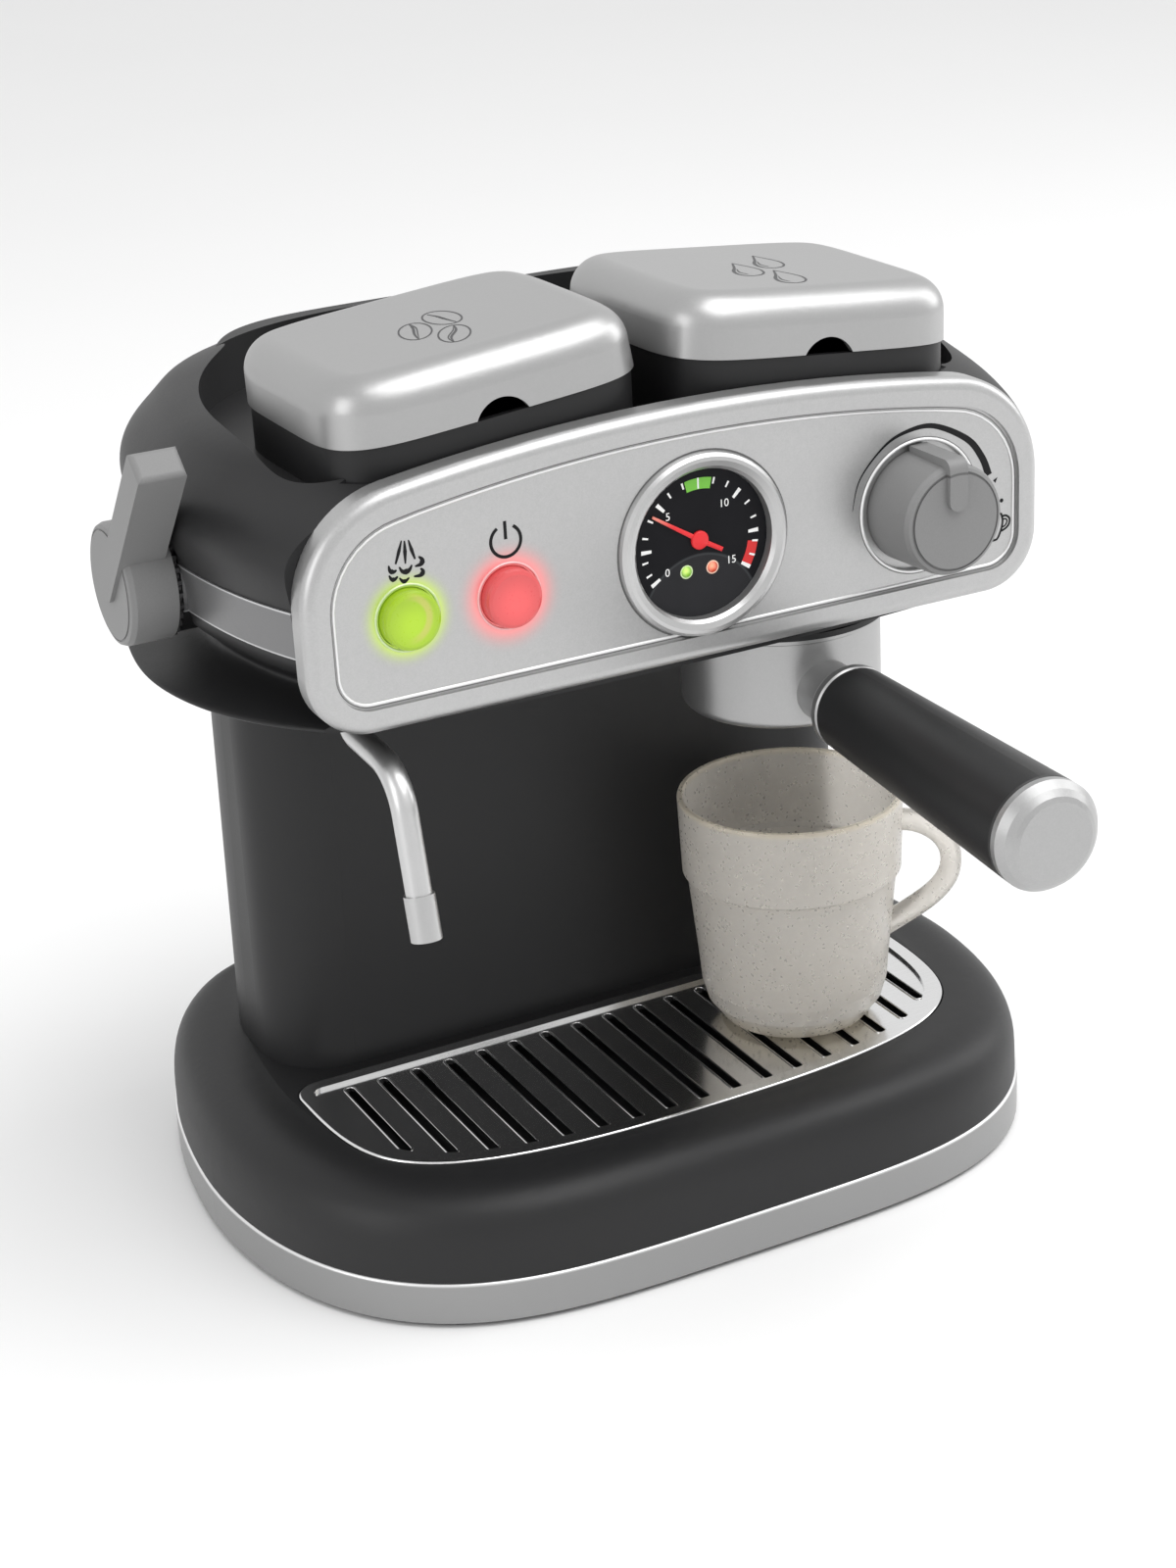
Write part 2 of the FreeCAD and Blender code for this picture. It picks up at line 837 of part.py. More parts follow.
def recess_body(z0, z1):
    """The recess in the head's top, between two heights."""
    wire = outline(z0, recess_half_width, recess_front_reach, recess_back_reach,
                   (recess_front_side_power, recess_front_round_power),
                   (recess_back_side_power, recess_back_round_power))
    return moved(prism(wire, z1 - z0), 0, recess_middle_y, 0)


def make_head_upper():
    top = head_sections[-1][0]
    outer = head_body(0).common(slab(-300, 300, head_front, 300, band_top, top + 1))
    hollow = head_body(wall).common(slab(-300, 300, head_front - 1, 300, band_top - 1, recess_floor - wall))
    body = joined(outer.cut(hollow), side_boss(band_top, band_top + 30))
    body = body.cut(slab(-300, 300, head_front - 1, web_back, web_top, top + 5))
    body = body.cut(recess_body(recess_floor, top + 5))
    for side in (-1, 1):
        step = container_step - container_fit
        body = body.cut(container_area(side, step, recess_floor - 10, recess_floor + 1))
        body = body.cut(container_area(side, -container_fit, recess_floor, top + 5))
    return body.cut(steam_knob_seat())


# Containers and lids

def container_outline(side, inset, z):
    wire = lid_outline(z, container_inset + inset)
    wire.translate(Vector(side * lid_x, lid_y, 0))
    return wire


def lid_outline(z, inset):
    """The squarish plan outline of a lid, drawn in by an inset."""
    half_y = lid_half_depth - inset
    powers = (lid_power, lid_power)
    return outline(z, lid_half_width - inset, half_y, half_y, powers, powers)


def container_area(side, inset, z0, z1):
    return prism(container_outline(side, inset, z0), z1 - z0)


def to_lid_frame(shape, side):
    """Tips a shape made about the lid's own middle, and moves it to its place."""
    copy = shape.copy()
    copy.rotate(Vector(0, 0, 0), back, side * lid_tilt)
    copy.translate(Vector(side * lid_x, lid_y, lid_plane))
    return copy


def hinge_place(x):
    """A point of the lid's hinge line, in the lid's own frame."""
    return Vector(x, lid_half_depth + hinge_back, hinge_rise)


def make_container(side):
    upper = container_area(side, 0, recess_floor, lid_plane + 20)
    lower = container_area(side, container_step, container_bottom, recess_floor)
    body = joined(upper, lower)
    hollow = joined(container_area(side, container_wall, recess_floor + container_wall, lid_plane + 21),
                    container_area(side, container_step + container_wall, container_bottom + container_wall,
                                   recess_floor + container_wall + 1))
    body = body.cut(hollow)
    above = to_lid_frame(slab(-100, 100, -100, 100, 0, 60), side)
    body = body.cut(above)
    arm = slab(-hinge_barrel_length / 2, hinge_barrel_length / 2, lid_half_depth - container_inset - 1,
               lid_half_depth + hinge_back, hinge_rise - 2 * hinge_barrel_radius, 0)
    half = hinge_barrel_length / 2
    barrel = rod(hinge_barrel_radius, hinge_place(-half), hinge_place(half))
    bore = rod(hinge_pin_radius, hinge_place(-50), hinge_place(50))
    knuckle = joined(arm, barrel).cut(bore)
    return joined(body, to_lid_frame(knuckle, side))


def make_lid(side):
    body = Part.makeLoft([lid_outline(lid_gap, 0), lid_outline(lid_height, lid_draft)], True, True)
    body = body.makeFillet(lid_round, edges_at_z(body, lid_height))
    inner_top = lid_height - lid_wall
    hollow = Part.makeLoft([lid_outline(lid_gap - 1, lid_wall), lid_outline(inner_top, lid_draft + lid_wall)],
                           True, True)
    hollow = hollow.makeFillet(lid_round - lid_wall, edges_at_z(hollow, inner_top))
    body = body.cut(hollow)
    notch_z = lid_gap + notch_height - notch_radius
    notch = Vector(0, -lid_half_depth, notch_z)
    body = body.cut(rod(notch_radius, notch - back * 5, notch + back * 6))
    knuckles = []
    for x in (-hinge_barrel_x, hinge_barrel_x):
        half = hinge_barrel_length / 2
        knuckles.append(rod(hinge_barrel_radius, hinge_place(x - half), hinge_place(x + half)))
        knuckles.append(slab(x - half, x + half, lid_half_depth - lid_wall + 0.5, lid_half_depth + hinge_back,
                             hinge_rise, hinge_rise + hinge_barrel_radius))
    body = joined(body, *knuckles)
    body = body.cut(rod(hinge_pin_radius + running_clearance, hinge_place(-50), hinge_place(50)))
    return to_lid_frame(body, side)


def make_hinge_pin(side):
    reach = hinge_barrel_x + hinge_barrel_length / 2 + 1
    return to_lid_frame(rod(hinge_pin_radius, hinge_place(-reach), hinge_place(reach)), side)


# Front panel with its gauge and buttons

def make_front_panel():
    front = panel_face - panel_bead
    body = loaf(0, front, head_front)
    body = body.makeFillet(panel_edge_round, edges_at_y(body, front))
    body = body.cut(loaf(-panel_bead_width, front - 1, panel_face))
    body = body.cut(loaf(-wall, panel_face + wall, head_front + 1))
    posts = []
    for x, z in board_posts():
        posts.append(rod(post_radius, Vector(x, panel_face + wall - 0.5, z), Vector(x, board_front, z)))
    posts.append(rod(knob_shaft_radius + 3, Vector(selector_x, panel_face + 1, selector_z),
                     Vector(selector_x, head_front, selector_z)))
    body = joined(body, *posts)
    recess = Vector(selector_x, panel_face, selector_z)
    body = body.cut(rod(selector_recess_radius, recess - back * 5, recess + back * selector_recess_depth))
    body = body.cut(rod(knob_shaft_radius + running_clearance, recess - back * 5, recess + back * 20))
    gauge = Vector(gauge_x, panel_face, gauge_z)
    body = body.cut(rod(gauge_dial_radius + gauge_seat, gauge - back * 5, gauge + back * 20))
    for x in (steam_button_x, power_button_x):
        hole = Vector(x, panel_face, button_z)
        body = body.cut(rod(button_radius + moving_gap, hole - back * 5, hole + back * 5))
    return body


def board_posts():
    middle_x = (steam_button_x + power_button_x) / 2
    middle_z = (board_bottom + board_top) / 2
    return [(middle_x, board_top - 4), (middle_x, board_bottom + 4),
            (board_left + 4, middle_z), (board_right - 4, middle_z)]


def make_gauge_bezel():
    centre = Vector(gauge_x, panel_face, gauge_z)
    outer = gauge_bezel_radius
    inner = gauge_dial_radius
    height = gauge_bezel_height
    points = [
        (0, outer), (-height * 0.55, outer - 0.4), (-height * 0.9, outer - 1.3), (-height, outer - 2.3),
        (-height * 0.75, inner + 1.1), (-height * 0.3, inner + 0.2), (gauge_dial_depth, inner),
        (gauge_dial_depth, inner + gauge_dial_lap), (gauge_dial_depth + 2.2, inner + gauge_dial_lap),
        (gauge_dial_depth + 2.2, inner + gauge_seat), (0, inner + gauge_seat),
    ]
    return turned_profile(points, centre, back, up)


def make_gauge_dial():
    start = Vector(gauge_x, panel_face + gauge_dial_depth, gauge_z)
    return rod(gauge_dial_radius + gauge_dial_lap, start, start + back * 1.5)


def make_button(x):
    centre = Vector(x, panel_face, button_z)
    front = -button_proud
    flange = wall + moving_gap
    points = [
        (front, 0), (front, button_radius - 1.2), (front + 0.4, button_radius - 0.4),
        (front + 1.2, button_radius),
        (flange, button_radius), (flange, button_radius + 1.6), (flange + button_flange, button_radius + 1.6),
        (flange + button_flange, button_radius - button_wall),
        (front + button_wall, button_radius - button_wall),
        (front + button_wall, 0),
    ]
    body = turned_profile(points, centre, back, up)
    tab = slab(x - 3, x + 3, panel_face + flange, panel_face + flange + button_flange,
               button_z - button_tab_reach, button_z - button_radius)
    return joined(body, tab)


def button_back():
    return panel_face + wall + moving_gap + button_flange


def make_button_spring(x):
    start = Vector(x, button_back(), button_z)
    outer = button_radius + 0.9
    return tube(outer, outer - spring_wire, start, Vector(x, board_front, button_z))


def make_switches():
    solids = []
    for x in (steam_button_x, power_button_x):
        z = button_z - button_tab_reach + 3
        stem_front = button_back() + button_travel + moving_gap
        case = slab(x - 3, x + 3, stem_front + 1.5, board_front, z - 3, z + 3)
        solids.append(joined(case, rod(1.7, Vector(x, stem_front, z), Vector(x, stem_front + 2, z))))
    return Part.makeCompound(solids)


def make_lamps():
    solids = []
    for x in (steam_button_x, power_button_x):
        foot = Vector(x, board_front, button_z)
        tip = foot - back * 7
        lens = joined(rod(lamp_radius, foot, tip), Part.makeSphere(lamp_radius, tip))
        solids.append(joined(lens, rod(lamp_radius + 0.4, foot, foot - back * 1)))
    return Part.makeCompound(solids)


def make_circuit_board():
    body = slab(board_left, board_right, board_front, board_front + board_thickness, board_bottom, board_top)
    for x, z in board_posts():
        body = body.cut(rod(1.3, Vector(x, board_front - 1, z), Vector(x, board_front + 5, z)))
    return body


# Knobs

def knob_body(centre, outward, radial, back_radius, front_radius, length):
    """A round knob with rounded front edge and a fine groove round its face."""
    points = [
        (0, 0), (0, back_radius), (length - knob_round, front_radius + (back_radius - front_radius) * 0.1),
        (length - knob_round * 0.3, front_radius - knob_round * 0.3),
        (length, front_radius - knob_round), (length, 0),
    ]
    body = turned_profile(points, centre, outward, radial)
    face = centre + outward * length
    groove_outer = front_radius - knob_groove_inset
    groove = tube(groove_outer, groove_outer - knob_groove_width, face - outward * knob_groove_depth,
                  face + outward)
    return body.cut(groove)


def make_selector_knob():
    outward = back * -1
    centre = Vector(selector_x, panel_face + selector_recess_depth - moving_gap, selector_z)
    length = selector_length + selector_recess_depth - moving_gap
    body = knob_body(centre, outward, up, selector_back_radius, selector_front_radius, length)
    half = pointer_width / 2
    low = selector_z + pointer_start + half
    high = selector_z + selector_back_radius + pointer_height
    front = centre.y - length - pointer_height
    ridge = slab(selector_x - half, selector_x + half, front, centre.y - 0.8, low, high)
    end = Vector(selector_x, front, low)
    ridge = joined(ridge, rod(half, end, Vector(selector_x, centre.y - length + 2, low)))
    corner = [edge for edge in ridge.Edges if edge.BoundBox.XLength > 3
              and edge.BoundBox.ZMin > high - 0.01 and edge.BoundBox.YMax < front + 0.01]
    ridge = ridge.makeFillet(3.0, corner)
    shaft = rod(knob_shaft_radius, centre, Vector(selector_x, head_front + 4, selector_z))
    return joined(body, ridge, shaft)


def make_selector_clip():
    start = Vector(selector_x, head_front + moving_gap, selector_z)
    return tube(knob_shaft_radius + clip_width, knob_shaft_radius, start, start + back * clip_thickness)


def steam_knob_back_x():
    return steam_boss_x - moving_gap - steam_wheel_thickness


def make_steam_knob():
    outward = right * -1
    centre = Vector(steam_knob_back_x(), steam_knob_y, steam_knob_z)
    body = knob_body(centre, outward, up, steam_knob_radius, steam_knob_radius, steam_knob_length)
    face_x = centre.x - steam_knob_length - lever_proud
    half = lever_width / 2
    lever = slab(face_x, face_x + lever_thickness, -half, half, 0, lever_reach)
    tip = [edge for edge in lever.Edges
           if edge.BoundBox.ZLength < 0.01 and edge.BoundBox.ZMin > lever_reach - 1]
    lever = lever.makeFillet(1.6, tip)
    foot = rod(half, Vector(face_x, 0, 0), Vector(face_x + lever_thickness, 0, 0))
    lever = joined(lever, foot)
    lever.rotate(Vector(0, 0, 0), right, lever_angle)
    lever.translate(Vector(0, steam_knob_y, steam_knob_z))
    shaft = rod(knob_shaft_radius, centre, Vector(steam_boss_x + 16, steam_knob_y, steam_knob_z))
    return joined(body, lever, shaft)


def make_steam_wheel():
    """The toothed click wheel behind the steam knob."""
    points = []
    for index in range(steam_wheel_teeth):
        for share, radius in ((0.0, steam_wheel_radius - steam_wheel_tooth),
                              (0.2, steam_wheel_radius), (0.5, steam_wheel_radius),
                              (0.7, steam_wheel_radius - steam_wheel_tooth)):
            angle = 2 * math.pi * (index + share) / steam_wheel_teeth
            points.append(Vector(steam_knob_back_x(), steam_knob_y + radius * math.cos(angle),
                                 steam_knob_z + radius * math.sin(angle)))
    points.append(points[0])
    wheel = Part.Face(Part.makePolygon(points)).extrude(right * steam_wheel_thickness)
    start = Vector(steam_knob_back_x() - 1, steam_knob_y, steam_knob_z)
    return wheel.cut(rod(knob_shaft_radius, start, start + right * 20))


def make_steam_clip():
    start = Vector(steam_boss_x + steam_boss_depth + moving_gap, steam_knob_y, steam_knob_z)
    return tube(knob_shaft_radius + clip_width, knob_shaft_radius, start, start + right * clip_thickness)


# Group head and filter holder

def group_point(z):
    return Vector(group_x, group_y, z)


def make_bayonet_ring():
    bottom = bowl_top + moving_gap + group_flange_thickness
    body = tube(group_flange_radius + bayonet_wall, hub_radius() - group_neck_inset + 0.1,
                group_point(bottom), group_point(head_bottom))
    lugs = []
    for side in (-1, 1):
        lug = slab(group_flange_radius - 1, lug_reach, -lug_width / 2, lug_width / 2,
                   head_bottom - lug_drop, head_bottom)
        lug = lug.cut(rod(bowl_radius + bayonet_gap, Vector(0, 0, 0), Vector(0, 0, 300)))
        lug.rotate(Vector(0, 0, 0), up, -lug_angle if side > 0 else 180 + lug_angle)
        lug.translate(Vector(group_x, group_y, 0))
        lugs.append(lug)
    return joined(body, *lugs).cut(rod(bowl_radius + bayonet_gap, group_point(0), group_point(bottom)))


def hub_radius():
    return bowl_radius - bowl_wall - running_clearance


def make_group_head():
    top = bowl_top + moving_gap + group_flange_thickness
    flange = rod(group_flange_radius, group_point(bowl_top + moving_gap), group_point(top))
    hub = rod(hub_radius(), group_point(bowl_top - hub_depth), group_point(top))
    neck = rod(hub_radius() - group_neck_inset, group_point(top), group_point(head_bottom))
    body = joined(flange, hub, neck)
    hub_bottom = bowl_top - hub_depth
    under = rod(hub_radius() - 3, group_point(hub_bottom - 1), group_point(hub_bottom + 3))
    body = body.cut(under)
    return body.cut(rod(outlet_radius, group_point(100), group_point(head_bottom + 1)))


def make_bowl():
    body = rod(bowl_radius, group_point(bowl_bottom), group_point(bowl_top))
    body = body.makeFillet(2.6, edges_at_z(body, bowl_bottom))
    boss_start = Vector(group_x, group_y - bowl_radius + bowl_wall, handle_z)
    boss = rod(handle_boss_radius, boss_start, Vector(group_x, group_y - handle_ring_start, handle_z))
    body = joined(body, boss)
    floor = bowl_bottom + bowl_floor
    body = body.cut(rod(bowl_radius - bowl_wall, group_point(floor), group_point(bowl_top + 1)))
    body = body.cut(rod(outlet_radius, group_point(bowl_bottom - 1), group_point(floor + 1)))
    rod_start = Vector(group_x, group_y - handle_rod_start(), handle_z)
    rod_end = Vector(group_x, group_y - handle_ring_start - 1, handle_z)
    body = body.cut(rod(handle_rod_radius, rod_start, rod_end))
    return turn_handle(body)


def turn_handle(shape):
    """Turns a piece made straight ahead to where the filter holder is locked."""
    copy = shape.copy()
    copy.rotate(group_point(0), up, handle_turn)
    return copy


def handle_profile(points):
    """A turned piece of the handle, from (distance from the head's axis, radius) pairs."""
    centre = Vector(group_x, group_y, handle_z)
    return turn_handle(turned_profile(points, centre, back * -1, up))


def handle_radius(along):
    share = (along - handle_grip_start) / (handle_grip_end - handle_grip_start)
    return handle_start_radius + (handle_end_radius - handle_start_radius) * share


def make_handle_ring():
    start = handle_ring_start
    end = handle_grip_start
    radius = handle_start_radius
    points = [
        (start, handle_rod_radius), (start, radius - 2.6), (start + 1.2, radius - 1.0), (start + 3.2, radius),
        (end - 0.6, radius), (end, radius - 0.5), (end, handle_rod_radius),
    ]
    return handle_profile(points)


def make_handle_grip():
    points = [
        (handle_grip_start, handle_rod_radius), (handle_grip_start, handle_start_radius - 0.4),
        (handle_grip_start + 0.8, handle_radius(handle_grip_start + 0.8)),
        (handle_grip_end - 0.6, handle_radius(handle_grip_end - 0.6)),
        (handle_grip_end, handle_end_radius - 0.5), (handle_grip_end, handle_rod_radius),
    ]
    return handle_profile(points)


def make_handle_cap():
    end = handle_cap_end
    start = handle_grip_end
    points = [
        (start, handle_rod_radius), (start, handle_end_radius - 0.4), (start + 0.5, handle_end_radius),
        (start + 2.4, handle_end_radius), (end - 2.2, handle_end_radius - 1.6),
        (end - 0.7, handle_face_radius + 1.3), (end, handle_face_radius), (end, 0),
        (start + handle_cap_seat, 0), (start + handle_cap_seat, handle_rod_radius),
    ]
    return handle_profile(points)


def handle_rod_start():
    return bowl_radius - bowl_wall + handle_rod_seat


def make_handle_rod():
    start = handle_rod_start()
    end = handle_grip_end + handle_cap_seat
    points = [(start, 0), (start, handle_rod_radius), (end, handle_rod_radius), (end, 0)]
    return handle_profile(points)


# Steam wand

def wand_path():
    """The wand's centre line: down out of the head, forward, and down to the nozzle."""
    corners = [
        Vector(wand_x, wand_y, head_bottom + 4),
        Vector(wand_x, wand_y, wand_run_z),
        Vector(wand_x, wand_bend_y, wand_run_z - wand_run_drop),
        Vector(wand_x, wand_end_y, wand_end_z),
    ]
    radii = [wand_elbow, wand_bend]
    edges = []
    place = corners[0]
    for index in (1, 2):
        before = (corners[index - 1] - corners[index]).normalize()
        after = (corners[index + 1] - corners[index]).normalize()
        half_angle = before.getAngle(after) / 2
        reach = radii[index - 1] / math.tan(half_angle)
        start = corners[index] + before * reach
        end = corners[index] + after * reach
        middle_way = (before + after).normalize()
        centre = corners[index] + middle_way * (radii[index - 1] / math.sin(half_angle))
        middle = centre - middle_way * radii[index - 1]
        edges.append(Part.LineSegment(place, start).toShape())
        edges.append(Part.Arc(start, middle, end).toShape())
        place = end
    edges.append(Part.LineSegment(place, corners[3]).toShape())
    return Part.Wire(edges)


def make_steam_wand():
    path = wand_path()
    start = Vector(wand_x, wand_y, head_bottom + 4)
    ring = Part.Wire(Part.makeCircle(wand_radius, start, up))
    body = path.makePipeShell([ring], True, False)
    pivot = rod(wand_pivot_radius, Vector(wand_x, wand_y, head_bottom - wand_collar_height - 1.5), start)
    flange = rod(wand_pivot_radius + 1.6, Vector(wand_x, wand_y, head_bottom + wall + moving_gap), start)
    return joined(body, pivot, flange)


def make_wand_nozzle():
    end = Vector(wand_x, wand_end_y, wand_end_z)
    bend = Vector(wand_x, wand_bend_y, wand_run_z - wand_run_drop)
    upward = (bend - end).normalize()
    tip = end - upward * 0.6
    body = rod(nozzle_radius, tip, tip + upward * nozzle_length)
    body = body.cut(rod(wand_radius, end, tip + upward * (nozzle_length + 1)))
    return body.cut(rod(wand_bore, tip - upward, end + upward))


def make_wand_collar():
    top = Vector(wand_x, wand_y, head_bottom)
    body = tube(wand_collar_radius, wand_pivot_radius + running_clearance, top, top - up * wand_collar_height)
    return body.makeFillet(1.0, [edge for edge in edges_at_z(body, head_bottom - wand_collar_height)
                                 if edge.Length > 40])


def make_water_pipe():
    """The pipe from the tank's outlet down to the group head."""
    return tube(outlet_radius + water_pipe_wall, outlet_radius,
                group_point(head_bottom), group_point(container_bottom))


# Cup

def cup_point(radius, z):
    return Vector(cup_x + radius, cup_y, z)


def make_cup():
    foot = grate_top - grate_rim_height + moving_gap
    outside = [
        (cup_foot_radius, foot), (cup_foot_radius + 5.0, foot + 1.6), (cup_waist_radius - 2.2, foot + 7.5),
        (cup_waist_radius - 0.7, foot + 13.0), (cup_waist_radius, cup_waist_z),
        (cup_lower_radius, cup_step_z - 1.2), (cup_step_radius, cup_step_z),
        (cup_rim_radius, cup_rim_z - 0.8),
        (cup_rim_radius - 0.3, cup_rim_z), (cup_rim_radius - cup_wall + 0.3, cup_rim_z),
    ]
    inside = [
        (cup_rim_radius - cup_wall, cup_rim_z - 0.8), (cup_step_radius - cup_wall, cup_step_z),
        (cup_lower_radius - cup_wall, cup_step_z - 1.2), (cup_waist_radius - cup_wall, cup_waist_z),
        (cup_waist_radius - cup_wall - 0.8, foot + 13.5), (cup_waist_radius - cup_wall - 2.6, foot + 8.6),
        (cup_foot_radius + 3.6, foot + 3.6), (cup_foot_radius - 1, foot + 2.2), (0, foot + 2.2), (0, foot),
    ]
    places = [cup_point(radius, z) for radius, z in outside + inside]
    places.append(places[0])
    body = Part.Face(Part.makePolygon(places)).revolve(cup_point(0, 0), up, 360)
    core = [cup_point(0, foot), cup_point(cup_foot_radius, foot)]
    core += [cup_point(radius - 0.9, z) for radius, z in outside[1:8]]
    core += [cup_point(0, cup_rim_z), cup_point(0, foot)]
    core = Part.Face(Part.makePolygon(core)).revolve(cup_point(0, 0), up, 360)
    return joined(body, make_cup_handle().cut(core))


def make_cup_handle():
    """The D-shaped handle: it runs out level at the top, curls over and slopes back in."""
    turn = math.radians(cup_handle_angle)
    outward = Vector(math.cos(turn), math.sin(turn), 0)

    def place(radius, z):
        return Vector(cup_x, cup_y, z) + outward * radius

    start = place(cup_step_radius - 2.5, cup_handle_top_z)
    knee = place(cup_handle_reach - 10.0, cup_handle_top_z - 0.8)
    elbow = place(cup_handle_reach - 1.0, cup_handle_top_z - 16.0)
    end = place(cup_waist_radius - 1.5, cup_handle_low_z)
    curve = Part.BSplineCurve()
    curve.interpolate([start, knee, place(cup_handle_reach - 1.8, cup_handle_top_z - 8.0), elbow,
                       place(cup_handle_reach - 11.0, cup_handle_top_z - 28.0), end])
    path = Part.Wire(curve.toShape())
    tangent = curve.tangent(curve.FirstParameter)[0]
    sideways = outward.cross(up)
    section = Part.Ellipse(start + sideways * cup_handle_width / 2,
                           start + tangent.cross(sideways) * cup_handle_thickness / 2, start)
    return path.makePipeShell([Part.Wire(section.toShape())], True, False)


def main():
    os.makedirs("parts", exist_ok=True)
    pieces = [
        ("base_plate", make_base_plate),
        ("rubber_feet", make_feet),
        ("base_ring", make_base_ring),
        ("base_shell", make_base_shell),
        ("drip_grate", make_drip_grate),
        ("column_shell", make_column_shell),
        ("rear_cover", make_rear_cover),
        ("rear_cover_screws", make_cover_screws),
        ("base_screws", make_base_screws),
        ("speaker", make_speaker),
        ("battery_box", make_battery_box),
        ("batteries", make_batteries),
        ("battery_contacts", make_battery_contacts),
        ("battery_door", make_battery_door),
        ("battery_door_screw", make_battery_door_screw),
        ("head_lower_shell", make_head_lower),
        ("head_band", make_head_band),
        ("head_upper_shell", make_head_upper),
        ("bean_container", make_container, -1),
        ("bean_lid", make_lid, -1),
        ("bean_hinge_pin", make_hinge_pin, -1),
        ("water_tank", make_container, 1),
        ("tank_lid", make_lid, 1),
        ("tank_hinge_pin", make_hinge_pin, 1),
        ("front_panel", make_front_panel),
        ("gauge_bezel", make_gauge_bezel),
        ("gauge_dial", make_gauge_dial),
        ("steam_button", make_button, steam_button_x),
        ("power_button", make_button, power_button_x),
        ("steam_button_spring", make_button_spring, steam_button_x),
        ("power_button_spring", make_button_spring, power_button_x),
        ("button_switches", make_switches),
        ("button_lamps", make_lamps),
        ("circuit_board", make_circuit_board),
        ("selector_knob", make_selector_knob),
        ("selector_shaft_clip", make_selector_clip),
        ("steam_knob", make_steam_knob),
        ("steam_click_wheel", make_steam_wheel),
        ("steam_shaft_clip", make_steam_clip),
        ("bayonet_ring", make_bayonet_ring),
        ("group_head", make_group_head),
        ("filter_bowl", make_bowl),
        ("handle_ring", make_handle_ring),
        ("handle_grip", make_handle_grip),
        ("handle_cap", make_handle_cap),
        ("handle_rod", make_handle_rod),
        ("steam_wand", make_steam_wand),
        ("wand_nozzle", make_wand_nozzle),
        ("wand_collar", make_wand_collar),
        ("water_pipe", make_water_pipe),
        ("cup", make_cup),
    ]
    for name, make, *values in pieces:
        save(name, make(*values))


main()
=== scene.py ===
import math

import bpy
from mathutils import Matrix, Vector


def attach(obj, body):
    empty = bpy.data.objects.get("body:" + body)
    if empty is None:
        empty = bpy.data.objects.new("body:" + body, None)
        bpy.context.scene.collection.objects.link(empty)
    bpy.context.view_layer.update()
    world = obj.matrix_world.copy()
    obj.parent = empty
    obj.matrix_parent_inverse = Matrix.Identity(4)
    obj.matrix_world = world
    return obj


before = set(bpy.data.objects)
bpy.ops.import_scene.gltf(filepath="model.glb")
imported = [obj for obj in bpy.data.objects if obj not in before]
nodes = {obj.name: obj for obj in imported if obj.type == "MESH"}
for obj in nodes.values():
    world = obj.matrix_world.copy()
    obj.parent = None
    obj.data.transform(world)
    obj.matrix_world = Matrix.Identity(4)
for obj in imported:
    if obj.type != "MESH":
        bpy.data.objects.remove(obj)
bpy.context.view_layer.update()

# Base plate, feet and battery door. The plate is a flat black moulding that closes the base from
# below. Five rubber pads are pressed into it, and the battery door sits flush in its back half.


class Shade:
    """A shader socket that takes part in sums and products."""

    def __init__(self, finish, socket):
        self.finish = finish
        self.socket = socket

    def maths(self, operation, *values):
        return self.finish.node("ShaderNodeMath", {"operation": operation}, values)

    def __add__(self, other):
        return self.maths("ADD", self, other)

    def __radd__(self, other):
        return self.maths("ADD", other, self)

    def __sub__(self, other):
        return self.maths("SUBTRACT", self, other)

    def __rsub__(self, other):
        return self.maths("SUBTRACT", other, self)

    def __mul__(self, other):
        return self.maths("MULTIPLY", self, other)

    def __rmul__(self, other):
        return self.maths("MULTIPLY", other, self)

    def __pow__(self, other):
        return self.maths("POWER", self, other)

    def least(self, other):
        return self.maths("MINIMUM", self, other)

    def most(self, other):
        return self.maths("MAXIMUM", self, other)

    def rise(self, low, high):
        """0 below low, 1 above high and a soft step between; low may be the larger one."""
        return self.finish.node("ShaderNodeMapRange", {"interpolation_type": "SMOOTHSTEP"},
                                {"Value": self, "From Min": low, "From Max": high})


